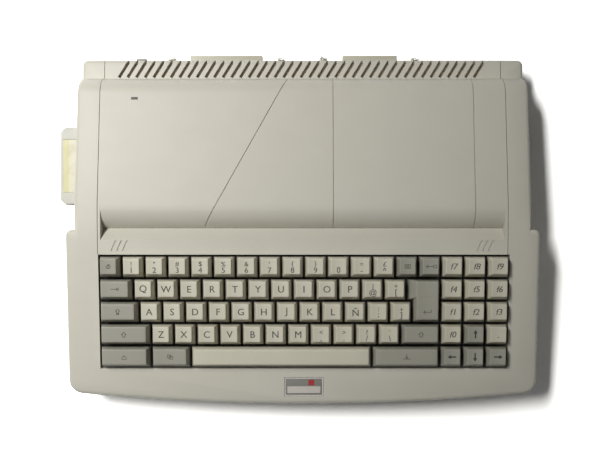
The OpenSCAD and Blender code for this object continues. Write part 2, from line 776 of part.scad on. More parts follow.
module badge_plate() color([0.45, 0.45, 0.44]) badge_place(0, -badge_depth, -badge_depth + badge_t);

// ---- Keyboard ----

// A block with tapered sides: left, right, front and rear taper over the height h.
module tapered(x0, x1, y0, y1, h, tl, tr, tf, tb) intersection() {
    translate([0, y1, 0]) rotate([90, 0, 0]) linear_extrude(y1 - y0)
        polygon([[x0, 0], [x1, 0], [x1 - tr, h], [x0 + tl, h]]);
    translate([x0, 0, 0]) rotate([90, 0, 90]) linear_extrude(x1 - x0)
        polygon([[y0, 0], [y1, 0], [y1 - tb, h], [y0 + tf, h]]);
}

function unit_x(u) = key_shift - 9 * key_pitch + u * key_pitch;
function row_y(r) = well_rear - well_gap + key_gap / 2 - (r + 0.5) * key_pitch;
function plungers(w) = w < 3 ? [0] : [-(w / 2 - 0.75), 0, w / 2 - 0.75];

module plunger(x, y) translate([x, y, plunger_end])
    cylinder(r = plunger_r, h = cap_proud - dish_depth - cap_wall - plunger_end + 0.2);

module dish(x, y, w) {
    top_w = w - 2 * side_taper;
    r = (top_w * top_w / 4 + dish_depth * dish_depth) / (2 * dish_depth);
    translate([x, y + key_pitch * 2, cap_proud + r - dish_depth]) rotate([90, 0, 0])
        cylinder(r = r, h = key_pitch * 4, $fn = 96);
}

module keycap(start, row, w) {
    x = unit_x(start + w / 2);
    y = row_y(row);
    cap_w = w * key_pitch - key_gap;
    half = cap_w / 2;
    depth = (key_pitch - key_gap) / 2;
    difference() {
        translate([x, y, cap_low])
            tapered(-half, half, -depth, depth, cap_h, side_taper, side_taper, front_taper, rear_taper);
        translate([x, y, cap_low - 0.01])
            tapered(-half + cap_wall, half - cap_wall, -depth + cap_wall, depth - cap_wall,
                cap_h - cap_wall - dish_depth, side_taper, side_taper, front_taper, rear_taper);
        if (w < 2) dish(x, y, cap_w);
    }
    for (p = plungers(w)) plunger(x + p * key_pitch, y);
}

// The tall key spans two rows, and its upper half is a quarter unit wider.
module return_keycap() {
    x1 = unit_x(15) - key_gap / 2;
    x0 = unit_x(13.75) + key_gap / 2;
    y1 = row_y(1) + (key_pitch - key_gap) / 2;
    y0 = row_y(2) - (key_pitch - key_gap) / 2;
    step = key_pitch / 4;
    mid = row_y(1) - (key_pitch - key_gap) / 2;
    hollow_h = cap_h - cap_wall - dish_depth;
    difference() {
        translate([0, 0, cap_low]) union() {
            tapered(x0, x1, y0, y1, cap_h, side_taper, side_taper, front_taper, rear_taper);
            tapered(x0 - step, x1, mid, y1, cap_h, side_taper + step, side_taper, front_taper, rear_taper);
        }
        translate([0, 0, cap_low - 0.01])
            tapered(x0 + cap_wall, x1 - cap_wall, y0 + cap_wall, y1 - cap_wall,
                hollow_h, side_taper, side_taper, front_taper, rear_taper);
        dish((x0 + x1) / 2, (y0 + y1) / 2, x1 - x0);
    }
    plunger((x0 + x1) / 2, (row_y(1) + row_y(2)) / 2);
}

module key_set(set) color(set[1]) on_slope() {
    if (len(set[2]) == 0) return_keycap();
    for (k = set[2]) keycap(k[0], k[1], k[2]);
}

// Where every plunger goes through the key plate.
module at_plungers() {
    for (set = KEY_SETS) for (k = set[2]) for (p = plungers(k[2]))
        translate([unit_x(k[0] + k[2] / 2) + p * key_pitch, row_y(k[1]), 0]) children();
    translate([(unit_x(13.75) + unit_x(15)) / 2, (row_y(1) + row_y(2)) / 2, 0]) children();
}

module key_plate() color(dark) on_slope() difference() {
    union() {
        well_box(plate_edge, plate_top - plate_t, plate_top);
        at_plungers() translate([0, 0, guide_end]) cylinder(r = guide_r + 1.3, h = guide_h + 0.5);
    }
    at_plungers() translate([0, 0, guide_end - cut]) cylinder(r = guide_r, h = 12);
}

module key_membrane() color([0.45, 0.45, 0.5]) on_slope() difference() {
    union() {
        well_box(plate_edge - 2, sheet_top - sheet_t, sheet_top);
        at_plungers() translate([0, 0, sheet_top - 0.5]) cylinder(r = guide_r + 1.1, h = collar_h + 0.5);
    }
    at_plungers() translate([0, 0, sheet_top]) cylinder(r = guide_r + 0.2, h = 12);
}

// ---- Board, sockets and switch ----

module board_posts() for (x = [34 - board_half, board_right - 104, board_right - 14])
    for (y = [ridge_y + 15.7, rear_y - 12])
        translate([x, y, wall - 0.2]) cylinder(r = 3, h = board_z - wall + 0.2);

module main_board() color([0.10, 0.35, 0.20]) union() {
    difference() {
        block(-board_half, board_right, 1, rear_y - wall - 1.5, board_z, board_z + board_t);
        for (p = SCREW_PLACES) translate([p[0], p[1], 0]) cylinder(r = post_r + 1, h = 20);
    }
    switch_body();
    for (c = CHIPS) translate([c[0], c[1], board_z + board_t])
        block(-c[2] / 2, c[2] / 2, -c[3] / 2, c[3] / 2, 0, chip_h);
}

// Outline of a ribbon socket's shell, narrower at the bottom.
module shell_outline(w, h) polygon([
    [-w / 2, h / 2], [-w / 2, -h / 2 + 3], [-w / 2 + 3, -h / 2],
    [w / 2 - 3, -h / 2], [w / 2, -h / 2 + 3], [w / 2, h / 2]]);

// A plan that faces the rear, between two depths.
module behind(x, z, y0, y1)
    translate([x, y1, z]) rotate([90, 0, 0]) linear_extrude(y1 - y0) children();

function lug_x(x, w, side) = x + side * (w / 2 + pin_reach);

module ribbon_socket(x, w) color([0.70, 0.68, 0.60]) {
    ear = w / 2 + pin_reach + lug_w / 2;
    shell_y = rear_y + shell_proud;
    difference() {
        union() {
            behind(x, shell_z, rear_y - 14, shell_y) shell_outline(w, shell_h);
            translate([x, rear_y, shell_z]) block(-ear, ear, 0, ear_t, -shell_h / 2, shell_h / 2);
            for (s = [-1, 1]) translate([lug_x(x, w, s), rear_y, shell_z])
                block(-lug_w / 2, lug_w / 2, 0, ear_t + 2 * lug_pin, -3, 3);
        }
        behind(x, shell_z, shell_y - shell_deep, shell_y + cut)
            shell_outline(w - 2 * shell_t, shell_h - 2 * shell_t);
        for (s = [-1, 1]) translate([lug_x(x, w, s), rear_y + ear_t + lug_pin, 0])
            cylinder(r = bail_wire / 2 + 0.1, h = 60);
    }
    translate([x, shell_y - shell_deep, shell_z])
        block(4 - w / 2, w / 2 - 4, -0.5, shell_deep - 1, -1.7, 1.7);
}

// One flat arm of a bail's wire, from the origin along an angle measured from straight back.
module bail_arm(angle, reach) rotate([0, 0, -angle])
    block(-bail_wire / 2, bail_wire / 2, -bail_wire / 4, reach + bail_wire / 4,
        -bail_wire / 2, bail_wire / 2);

// A wire bail: its pin turns in the socket's lug, and two arms reach back to a hook.
// The arms point away from the socket by the angle open, and the hook comes back beside them.
module bail(x, side, open) color(steel) translate([x, rear_y + ear_t + lug_pin, shell_z]) {
    out = side * open;
    back = side * (open - 180 - hook_turn);
    tip = bail_reach * [sin(out), cos(out)];
    hook = tip + hook_reach * [sin(back), cos(back)];
    cylinder(r = bail_wire / 2, h = 2 * bail_h, center = true);
    for (z = [-bail_h, bail_h]) translate([0, 0, z]) {
        bail_arm(out, bail_reach);
        translate([tip[0], tip[1], 0]) bail_arm(back, hook_reach);
    }
    translate([hook[0], hook[1], -bail_h]) cylinder(r = bail_wire / 2, h = 2 * bail_h);
}

module expansion_socket() ribbon_socket(expansion_x, expansion_w);
module printer_socket() ribbon_socket(printer_x, printer_w);

module expansion_bail_left() bail(lug_x(expansion_x, expansion_w, -1), -1, bail_folded);
module expansion_bail_right() bail(lug_x(expansion_x, expansion_w, 1), 1, bail_folded);
module printer_bail_left() bail(lug_x(printer_x, printer_w, -1), -1, bail_open);
module printer_bail_right() bail(lug_x(printer_x, printer_w, 1), 1, bail_folded);

module monitor_socket() color(dark) difference() {
    translate([monitor_x, 0, jack_z]) union() {
        behind(0, 0, rear_y - 12, rear_y + 0.6) circle(r = monitor_r + 1.2);
        block(-9, 9, rear_y - wall - 12, rear_y - wall, -jack_z + board_z + board_t, 6);
    }
    behind(monitor_x, jack_z, rear_y - 8, rear_y + cut) difference() {
        circle(r = monitor_r);
        circle(r = monitor_r - 1.4);
    }
    for (a = [30:45:330]) behind(monitor_x + 3.6 * sin(a), jack_z - 3.6 * cos(a), rear_y - 8, rear_y + cut)
        circle(r = 0.7, $fn = 16);
}

// Power jack with its centre pin, and the headphone jack.
module rear_jacks() color(dark) {
    difference() {
        block(power_x - 5, power_x + 5, rear_y - wall - 12, rear_y - wall, board_z + board_t, jack_z + 5.5);
        behind(power_x, jack_z, rear_y - wall - 9, rear_y) circle(r = 2.9);
    }
    behind(power_x, jack_z, rear_y - wall - 9.5, rear_y - wall - 1) circle(r = 1);
    difference() {
        union() {
            block(phones_x - 4.5, phones_x + 4.5, rear_y - wall - 12, rear_y - wall,
                board_z + board_t, jack_z + 5);
            behind(phones_x, jack_z, rear_y - wall - 1, rear_y) circle(r = 3.6);
        }
        behind(phones_x, jack_z, rear_y - wall - 11, rear_y + cut) circle(r = 1.85);
    }
}

module rear_openings() {
    for (s = [[expansion_x, expansion_w], [printer_x, printer_w]])
        behind(s[0], shell_z, rear_y - 4 * wall, rear_y + cut) shell_outline(s[1] + 0.6, shell_h + 0.6);
    behind(monitor_x, jack_z, rear_y - 2 * wall, rear_y + cut) circle(r = monitor_r + 1.5);
    behind(power_x, jack_z, rear_y - 2 * wall, rear_y + cut) circle(r = 5);
    behind(phones_x, jack_z, rear_y - 2 * wall, rear_y + cut) circle(r = 3.8);
    block(switch_x - switch_w / 2 - switch_clear, switch_x + switch_w / 2 + switch_clear,
        rear_y - 2 * wall, rear_y + cut, switch_z - switch_w / 2 - switch_clear,
        switch_z + switch_w / 2 + switch_clear);
}

// The push button of the power switch, with the shaft that reaches into the switch.
module power_switch() color(dark) union() {
    block(switch_x - switch_w / 2, switch_x + switch_w / 2, rear_y - 4, rear_y + switch_proud,
        switch_z - switch_w / 2, switch_z + switch_w / 2);
    block(switch_x - 2, switch_x + 2, rear_y - 14, rear_y - 3.5, switch_z - 2, switch_z + 2);
}

// The switch that the push button works, soldered to the board.
module switch_body() difference() {
    block(switch_x - 8, switch_x + 8, rear_y - 24, rear_y - 8.5, board_z + board_t, switch_z + 5);
    block(switch_x - 2.3, switch_x + 2.3, rear_y - 19, rear_y, switch_z - 2.3, switch_z + 2.3);
}

// ---- Left side: cartridge and joystick sockets ----

module cartridge_box(grow, x0, x1)
    block(x0, x1, cart_y - cart_w / 2 - grow, cart_y + cart_w / 2 + grow,
        cart_z - grow, cart_z + cart_t + grow);

module cartridge_slot() cartridge_box(cart_clear, -rear_w, -rear_w / 2 + 3 * wall);

// The shell is open at its inner end, and its outer corners are cut off.
module cartridge_shell() color([0.66, 0.66, 0.64]) difference() {
    translate([0, 0, cart_z]) linear_extrude(cart_t) polygon([
        [cart_x0 + cart_bevel, cart_y - cart_w / 2], [cart_x1, cart_y - cart_w / 2],
        [cart_x1, cart_y + cart_w / 2], [cart_x0 + cart_bevel, cart_y + cart_w / 2],
        [cart_x0, cart_y + cart_w / 2 - cart_bevel], [cart_x0, cart_y - cart_w / 2 + cart_bevel]]);
    block(cart_x0 + 3, cart_x1 + cut, cart_y - cart_w / 2 + 3, cart_y + cart_w / 2 - 3,
        cart_z + 2.4, cart_z + cart_t - 2.4);
    label_place(0.1, cart_z + cart_t - 0.4, cart_z + cart_t + cut);
    for (s = [-1, 1]) for (i = [0:3])
        block(cart_x0 + 3 + 2.4 * i, cart_x0 + 4.2 + 2.4 * i, cart_y + s * cart_w / 2 - 0.8,
            cart_y + s * cart_w / 2 + 0.8, cart_z - cut, cart_z + cart_t + cut);
}

module label_place(grow, low, high) translate([cart_x0 + label_edge, cart_y, 0])
    block(-grow, label_len + grow, -label_w / 2 - grow, label_w / 2 + grow, low, high);

module cartridge_label() color([0.93, 0.87, 0.45])
    label_place(0, cart_z + cart_t - 0.4, cart_z + cart_t - 0.1);

// The board stands on its side ledges inside the shell, and its edge goes into the socket.
module cartridge_board() color([0.12, 0.40, 0.22]) union() {
    block(cart_x0 + 18, cart_x1 + edge_reach, cart_y - cart_w / 2 + 12, cart_y + cart_w / 2 - 12,
        cart_z + cart_t / 2 - 0.8, cart_z + cart_t / 2 + 0.8);
    block(cart_x0 + 24, cart_x0 + 50, cart_y - cart_w / 2 + 3, cart_y + cart_w / 2 - 3,
        cart_z + cart_t / 2 - 0.8, cart_z + cart_t / 2 + 0.8);
    block(cart_x0 + 30, cart_x0 + 44, cart_y - 18, cart_y + 18, cart_z + cart_t / 2, cart_z + cart_t / 2 + 4);
}

module cartridge_socket() color(dark) {
    x0 = cart_x1 + 0.6;
    half = cart_w / 2 + cart_clear;
    difference() {
        block(x0, x0 + 12, cart_y - cart_w / 2 + 8, cart_y + cart_w / 2 - 8,
            board_z + board_t, cart_z + cart_t - 2);
        block(x0 - cut, x0 + edge_reach + 1.5, cart_y - cart_w / 2 + 11, cart_y + cart_w / 2 - 11,
            cart_z + cart_t / 2 - 1.1, cart_z + cart_t / 2 + 1.1);
    }
    difference() {
        block(-rear_w / 2 + wall + 3, x0 + 2, cart_y - half - 2, cart_y + half + 2,
            board_z + board_t, cart_z + cart_t - 4);
        block(-rear_w, x0 + 3, cart_y - half, cart_y + half, cart_z - 0.3, 90);
        block(-rear_w, x0 - 12, cart_y - half + 8, cart_y + half - 8, 0, 90);
    }
}

module joystick_outline(w, h) polygon([
    [-w / 2, -h / 2], [w / 2, -h / 2], [w / 2 - 1.4, h / 2], [-w / 2 + 1.4, h / 2]]);

module beside(y, z, x0, x1) translate([x0, y, z]) rotate([90, 0, 90]) linear_extrude(x1 - x0) children();

module joystick_sockets() color(steel) for (y = JOYSTICK_Y) {
    x0 = -rear_w / 2 - 0.8;
    difference() {
        beside(y, joystick_z, x0, x0 + 14) joystick_outline(17, 8.4);
        beside(y, joystick_z, x0 - cut, x0 + 6) joystick_outline(15.8, 7.2);
    }
    for (r = [0, 1]) for (i = [0:4 - r]) beside(y + (i - 2 + r / 2) * 2.75, joystick_z - 1.4 + 2.8 * r,
        x0 + 1.5, x0 + 6.5) circle(r = 0.5, $fn = 16);
    block(x0 + 8, x0 + 14, y - 8.5, y + 8.5, board_z + board_t, joystick_z);
}

module joystick_openings() for (y = JOYSTICK_Y)
    beside(y, joystick_z, -rear_w, -rear_w / 2 + 2 * wall) joystick_outline(17.8, 9.2);

// ---- Right side: disc drive ----

module bezel_opening() block(bezel_x - 3 * wall, bezel_x + cut, drive_y - drive_w / 2 - 0.4,
    drive_y + drive_w / 2 + 0.4, drive_z - 0.4, drive_z + drive_h + 0.4);

module slot_box(grow, x0, x1) block(x0, x1, drive_y - slot_w / 2 - grow, drive_y + slot_w / 2 + grow,
    slot_z - slot_h / 2 - grow, slot_z + slot_h / 2 + grow);

module drive_bezel() color([0.35, 0.35, 0.34]) difference() {
    block(bezel_back, bezel_x, drive_y - drive_w / 2, drive_y + drive_w / 2, drive_z, drive_z + drive_h);
    slot_box(0, bezel_back - cut, bezel_x + cut);
    block(bezel_x - 2, bezel_x + cut, drive_y - 14, drive_y + 14,
        slot_z - slot_h / 2 - 4, slot_z + slot_h / 2 + 4);
    eject_box(0.4, bezel_back - cut, bezel_x + cut);
    beside(drive_lamp_y, eject_z, bezel_back - cut, bezel_x + cut) circle(r = 1.6);
}

module eject_box(grow, x0, x1) block(x0, x1, eject_y - eject_w / 2 - grow, eject_y + eject_w / 2 + grow,
    eject_z - eject_h / 2 - grow, eject_z + eject_h / 2 + grow);

module eject_button() color(dark) union() {
    eject_box(0, bezel_back - 2, bezel_x + eject_travel + 0.6);
    block(bezel_back - 20, bezel_back - 1, eject_y - 2.5, eject_y + 2.5, eject_z - 1.5, eject_z + 1.5);
}

module drive_lamp() color([0.6, 0.1, 0.08])
    beside(drive_lamp_y, eject_z, bezel_back - 4, bezel_x - 0.3) circle(r = 1.5);

module drive_flap() color([0.2, 0.2, 0.2]) union() {
    block(hinge_x - 0.6, hinge_x + 0.6, drive_y - slot_w / 2 + 0.3, drive_y + slot_w / 2 - 0.3,
        slot_z - slot_h / 2 + 0.3, hinge_z);
    translate([hinge_x, drive_y - slot_w / 2 - 1.7, hinge_z]) rotate([-90, 0, 0])
        cylinder(r = flap_pin_r, h = slot_w + 3.4);
}

module drive_chassis() color(steel) difference() {
    block(bezel_back - drive_len, bezel_back, drive_y - drive_w / 2 + 2, drive_y + drive_w / 2 - 2,
        drive_z + 1, drive_z + drive_h - 1);
    slot_box(0, bezel_back - 96, bezel_back + cut);
    block(hinge_x - 9.5, bezel_back + cut, drive_y - slot_w / 2, drive_y + slot_w / 2, slot_z, hinge_z + 1.2);
    translate([hinge_x, drive_y - slot_w / 2 - 2, hinge_z]) rotate([-90, 0, 0])
        cylinder(r = flap_pin_r + 0.08, h = slot_w + 4);
    eject_box(0.4, bezel_back - 2 - eject_travel - 1, bezel_back + cut);
    block(bezel_back - 21 - eject_travel, bezel_back, eject_y - 2.9, eject_y + 2.9,
        eject_z - 1.9, eject_z + 1.9);
    beside(drive_lamp_y, eject_z, bezel_back - 4, bezel_back + cut) circle(r = 1.6);
}

module drive_posts() for (x = [bezel_back - drive_len + 8, bezel_back - 12]) for (s = [-1, 1])
    translate([x, drive_y + s * (drive_w / 2 - 12), wall - 0.2])
        cylinder(r = 4, h = drive_z + 1 - wall + 0.2);

module floor_vents() for (i = [0:floor_slots - 1])
    translate([(i - (floor_slots - 1) / 2) * floor_slot_pitch, front_y + floor_slot_front, -cut])
        block(-floor_slot_w / 2, floor_slot_w / 2, 0, floor_slot_len, 0, wall + 2 * cut);

lower_case();
upper_case();
centre_cover();
rubber_feet();
case_screws();
badge_plate();
power_lamp();
main_board();
key_plate();
key_membrane();
expansion_socket();
expansion_bail_left();
expansion_bail_right();
printer_socket();
printer_bail_left();
printer_bail_right();
monitor_socket();
rear_jacks();
power_switch();
cartridge_shell();
cartridge_label();
cartridge_board();
cartridge_socket();
joystick_sockets();
drive_chassis();
drive_bezel();
drive_flap();
eject_button();
drive_lamp();
for (set = KEY_SETS) key_set(set);
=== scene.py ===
"""Looks of a home computer with a full keyboard, a slanted hump and a cartridge bay.

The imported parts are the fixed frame. Every class below dresses one sub-assembly of it.
The sizes of the pieces are in millimetres, which MM turns into metres. Bevels, meshes and
the studio are in metres.
"""
import json
import logging
import math
from collections.abc import Sequence
from dataclasses import dataclass, field
from enum import Enum

import bmesh
import bpy
from mathutils import Matrix, Vector

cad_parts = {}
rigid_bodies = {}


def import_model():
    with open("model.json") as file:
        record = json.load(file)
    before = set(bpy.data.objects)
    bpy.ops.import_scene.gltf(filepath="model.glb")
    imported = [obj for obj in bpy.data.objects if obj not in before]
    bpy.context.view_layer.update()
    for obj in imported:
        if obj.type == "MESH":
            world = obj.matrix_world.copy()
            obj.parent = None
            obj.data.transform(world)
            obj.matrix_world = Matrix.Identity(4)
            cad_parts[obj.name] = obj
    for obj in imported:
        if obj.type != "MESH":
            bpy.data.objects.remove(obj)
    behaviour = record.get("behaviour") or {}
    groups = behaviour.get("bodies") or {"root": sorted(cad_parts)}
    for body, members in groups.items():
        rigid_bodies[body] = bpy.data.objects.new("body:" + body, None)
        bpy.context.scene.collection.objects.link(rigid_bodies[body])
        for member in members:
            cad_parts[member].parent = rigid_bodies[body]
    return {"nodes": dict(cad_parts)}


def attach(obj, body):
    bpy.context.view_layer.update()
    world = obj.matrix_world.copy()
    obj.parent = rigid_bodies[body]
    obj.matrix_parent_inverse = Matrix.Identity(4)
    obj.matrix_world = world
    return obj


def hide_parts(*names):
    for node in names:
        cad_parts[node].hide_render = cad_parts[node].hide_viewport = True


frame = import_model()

LOG = logging.getLogger("computer")
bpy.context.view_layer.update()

MM = 0.001
Colour = tuple[float, float, float]
Point = tuple[float, float]
Place = tuple[float, float, float]
Socket = bpy.types.NodeSocket

KEY_TILT = math.radians(5.2)
RIDGE = (0.0, -8.1 * MM, 57.0 * MM)
SLOPE = Matrix.Translation(RIDGE) @ Matrix.Rotation(KEY_TILT, 4, "X")
REAR_Y_MM = 148.4
SMOOTH_ANGLE = math.radians(32)
CAP_SMOOTH_ANGLE = math.radians(50)


def srgb(red: int, green: int, blue: int) -> Colour:
    """Turns screen values from 0 to 255 into linear ones.

    Args:
        red: Red value.
        green: Green value.
        blue: Blue value.

    Returns:
        The linear colour.
    """
    def linear(value: int) -> float:
        """Gives one linear value."""
        share = value / 255
        return share / 12.92 if share <= 0.04045 else ((share + 0.055) / 1.055) ** 2.4

    return linear(red), linear(green), linear(blue)


def scaled(colour: Colour, factor: float) -> Colour:
    """Makes a colour lighter or darker."""
    return tuple(min(1.0, part * factor) for part in colour)


# ---- Node trees ----


class Nodes:
    """A node tree, with short calls that add and join its nodes."""

    def __init__(self, tree: bpy.types.NodeTree) -> None:
        """Takes a tree."""
        self.tree = tree

    def add(self, kind: str, inputs: dict | None = None, **settings: object) -> bpy.types.Node:
        """Adds a node.

        Args:
            kind: Blender's name of the node.
            inputs: Value or source socket for each input, by name or number.
            **settings: The node's own options.

        Returns:
            The new node.
        """
        node = self.tree.nodes.new(kind)
        for option, value in settings.items():
            setattr(node, option, value)
        for key, value in (inputs or {}).items():
            self.join(node.inputs[key], value)
        return node

    def join(self, target: Socket, value: object) -> None:
        """Sets an input, or links a source socket to it.

        Args:
            target: The input.
            value: A constant or a source socket.
        """
        if isinstance(value, Socket):
            self.tree.links.new(value, target)
        elif isinstance(value, tuple) and len(value) == 3 and target.type == "RGBA":
            target.default_value = (*value, 1.0)
        else:
            target.default_value = value

    def math(self, operation: str, first: Socket | float, second: Socket | float) -> Socket:
        """Combines two values."""
        return self.add("ShaderNodeMath", {0: first, 1: second}, operation=operation).outputs[0]

    def background_rays(self) -> Socket:
        """Tells the rays that see the background by themselves, in metal or through glass.

        Returns:
            1 for such a ray, 0 for any other.
        """
        path = self.add("ShaderNodeLightPath").outputs
        seen = self.math("MAXIMUM", path["Is Camera Ray"], path["Is Glossy Ray"])
        return self.math("MAXIMUM", seen, path["Is Transmission Ray"])


class Shader(Nodes):
    """A material with a principled surface."""

    def __init__(self, name: str) -> None:
        """Starts a material.

        Args:
            name: Name of the material.
        """
        self.material = bpy.data.materials.new(name)
        self.material.use_nodes = True
        super().__init__(self.material.node_tree)
        self.surface = next(n for n in self.tree.nodes if n.type == "BSDF_PRINCIPLED")
        self.place = self.add("ShaderNodeTexCoord").outputs["Object"]

    def set(self, **values: object) -> None:
        """Sets the surface's inputs. An underscore in a name stands for a space.

        Args:
            **values: Constant or source socket for each input.
        """
        for name, value in values.items():
            self.join(self.surface.inputs[name.replace("_", " ")], value)

    def noise(self, scale: float, detail: float = 3.0, roughness: float = 0.5,
              stretch: Place = (1.0, 1.0, 1.0)) -> Socket:
        """Adds a noise on the piece's own coordinates.

        Args:
            scale: Number of features in a metre.
            detail: Number of octaves.
            roughness: Share of the finer octaves.
            stretch: Factor on each axis.

        Returns:
            The noise's value.
        """
        place = self.place
        if stretch != (1.0, 1.0, 1.0):
            place = self.add("ShaderNodeMapping", {"Vector": place, "Scale": stretch}).outputs[0]
        node = self.add("ShaderNodeTexNoise", {
            "Vector": place, "Scale": scale, "Detail": detail, "Roughness": roughness})
        return node.outputs["Fac"]

    def remap(self, value: Socket, low: float, high: float, to_low: float = 0.0,
              to_high: float = 1.0) -> Socket:
        """Maps a range of a value to another one, without going past it."""
        return self.add("ShaderNodeMapRange", {
            "Value": value, "From Min": low, "From Max": high,
            "To Min": to_low, "To Max": to_high}).outputs["Result"]

    def mix(self, factor: Socket | float, first: Socket | Colour,
            second: Socket | Colour, blend: str = "MIX") -> Socket:
        """Mixes two colours.

        Args:
            factor: Share of the second colour.
            first: First colour.
            second: Second colour.
            blend: Way of mixing.

        Returns:
            The mixed colour.
        """
        node = self.add("ShaderNodeMix", data_type="RGBA", blend_type=blend)
        self.join(node.inputs[0], factor)
        self.join(node.inputs[6], first)
        self.join(node.inputs[7], second)
        return node.outputs[2]

    def edge_mask(self, radius: float) -> Socket:
        """Gives 1 on edges and 0 on even surfaces.

        Args:
            radius: How far from an edge the mask reaches.

        Returns:
            The mask.
        """
        rounded = self.add("ShaderNodeBevel", {"Radius": radius}, samples=4).outputs[0]
        plain = self.add("ShaderNodeNewGeometry").outputs["Normal"]
        dot = self.add("ShaderNodeVectorMath", {0: rounded, 1: plain}, operation="DOT_PRODUCT")
        return self.remap(dot.outputs["Value"], 0.995, 0.90)

    def painted_gap_shade_mask(self, reach: float) -> Socket:
        """Gives 1 deep in grooves and gaps and 0 on open surfaces, from ambient occlusion; it masks painted
        shade.
        """
        shade = self.add("ShaderNodeAmbientOcclusion", {"Distance": reach}, samples=6)
        return self.remap(shade.outputs["AO"], 0.9, 0.3)

    def bump(self, height: Socket, distance: float, strength: float = 1.0,
             rounded: float = 0.0) -> None:
        """Gives the surface a fine relief.

        Args:
            height: Height from 0 to 1.
            distance: Height that 1 stands for.
            strength: Strength of the relief.
            rounded: Radius of the softened edges.
        """
        inputs = {"Height": height, "Distance": distance, "Strength": strength}
        if rounded:
            inputs["Normal"] = self.add(
                "ShaderNodeBevel", {"Radius": rounded}, samples=4).outputs[0]
        self.set(Normal=self.add("ShaderNodeBump", inputs).outputs[0])


@dataclass(frozen=True)
class MouldedPlastic:
    """Moulded plastic with a fine eroded grain, uneven ageing, rubbed edges and painted shade in its gaps
    and grooves.
    """

    name: str
    colour: Colour
    aged: Colour
    roughness: float = 0.5
    grain_scale: float = 1900.0
    grain_depth: float = 0.00004
    ageing: float = 0.5
    rubbed: float = 0.12
    patchy: float = 0.06
    # Strength and reach of the painted shade that occlusion puts in gaps and grooves.
    gap_shade: float = 0.0
    gap_shade_reach: float = 0.0013
    edge_radius: float = 0.0005
    cloud_scale: float = 11.0
    streak_scale: float = 42.0
    speck_scale: float = 950.0
    sheen_scale: float = 90.0
    rubbed_reach: float = 0.0006

    def material(self) -> bpy.types.Material:
        """Builds the material.

        Returns:
            The material.
        """
        shader = Shader(self.name)
        cloud = shader.remap(shader.noise(self.cloud_scale, 3, 0.55), 0.38, 0.68, 0.0, self.ageing)
        base = shader.mix(cloud, self.colour, self.aged)
        streak = shader.remap(shader.noise(self.streak_scale, 5, 0.6), 0.35, 0.75, 0.0, 0.10)
        base = shader.mix(streak, base, scaled(self.aged, 0.78))
        speck = shader.remap(shader.noise(self.speck_scale, 2, 0.5), 0.70, 0.76, 0.0, 0.25)
        base = shader.mix(speck, base, scaled(self.colour, 0.62))
        worn = shader.math("MULTIPLY", shader.edge_mask(self.rubbed_reach), self.rubbed)
        base = shader.mix(worn, base, scaled(self.colour, 1.35))
        # Painted shade: ambient occlusion darkens gaps, grooves and seams.
        if self.gap_shade:
            gap_shade_share = shader.math("MULTIPLY", shader.painted_gap_shade_mask(self.gap_shade_reach), self.gap_shade)
            base = shader.mix(gap_shade_share, base, scaled(self.aged, 0.16))
        sheen = shader.remap(shader.noise(self.sheen_scale, 4, 0.6), 0.3, 0.7,
                             self.roughness - self.patchy, self.roughness + self.patchy)
        shader.set(Base_Color=base, Roughness=sheen, Specular_IOR_Level=0.42)
        shader.bump(shader.noise(self.grain_scale, 2, 0.6), self.grain_depth, 0.5, self.edge_radius)
        return shader.material


@dataclass(frozen=True)
class PlatedSteel:
    """Plated sheet or wire, brushed along one axis, with a dull bloom."""

    name: str
    colour: Colour
    roughness: float = 0.34
    brushed: Place = (1.0, 1.0, 1.0)
    bloom: float = 0.35
    brush_scale: float = 900.0
    bloom_scale: float = 120.0

    def material(self) -> bpy.types.Material:
        """Builds the material.

        Returns:
            The material.
        """
        shader = Shader(self.name)
        lines = shader.noise(self.brush_scale, 3, 0.6, self.brushed)
        dull = shader.remap(shader.noise(self.bloom_scale, 4, 0.6), 0.45, 0.75, 0.0, self.bloom)
        sheen = shader.remap(lines, 0.3, 0.7, self.roughness - 0.1, self.roughness + 0.12)
        shader.set(Base_Color=shader.mix(dull, self.colour, scaled(self.colour, 0.45)),
                   Roughness=sheen, Metallic=1.0)
        shader.bump(lines, 0.00002, 0.4, 0.0002)
        return shader.material


@dataclass(frozen=True)
class Rubber:
    """Soft rubber with dust in its pores."""

    name: str
    colour: Colour
    dust: Colour
    dust_scale: float = 260.0
    pore_scale: float = 1400.0

    def material(self) -> bpy.types.Material:
        """Builds the material.

        Returns:
            The material.
        """
        shader = Shader(self.name)
        dust = shader.remap(shader.noise(self.dust_scale, 5, 0.65), 0.45, 0.72, 0.0, 0.55)
        shader.set(Base_Color=shader.mix(dust, self.colour, self.dust), Roughness=0.85)
        shader.bump(shader.noise(self.pore_scale, 3, 0.6), 0.00006, 0.6)
        return shader.material


@dataclass(frozen=True)
class LabelPaper:
    """Coated paper in two plain tints, with a crease of wear at its edge."""

    name: str
    outer: Colour
    inner: Colour
    border_x: float
    border_blur: float = 0.0002
    fibre_scale: float = 700.0
    stain_scale: float = 75.0

    def material(self) -> bpy.types.Material:
        """Builds the material.

        Returns:
            The material.
        """
        shader = Shader(self.name)
        x = shader.add("ShaderNodeSeparateXYZ", {0: shader.place}).outputs["X"]
        side = shader.remap(x, self.border_x - self.border_blur, self.border_x + self.border_blur)
        base = shader.mix(side, self.outer, self.inner)
        stain = shader.remap(shader.noise(self.stain_scale, 5, 0.62), 0.48, 0.78, 0.0, 0.45)
        base = shader.mix(stain, base, scaled(self.outer, 0.72))
        fibre = shader.noise(self.fibre_scale, 4, 0.7, (1.0, 0.25, 1.0))
        base = shader.mix(shader.remap(fibre, 0.4, 0.7, 0.0, 0.12), base, scaled(self.inner, 0.8))
        shader.set(Base_Color=base, Roughness=shader.remap(stain, 0, 0.45, 0.42, 0.62))
        shader.bump(fibre, 0.00003, 0.5)
        return shader.material


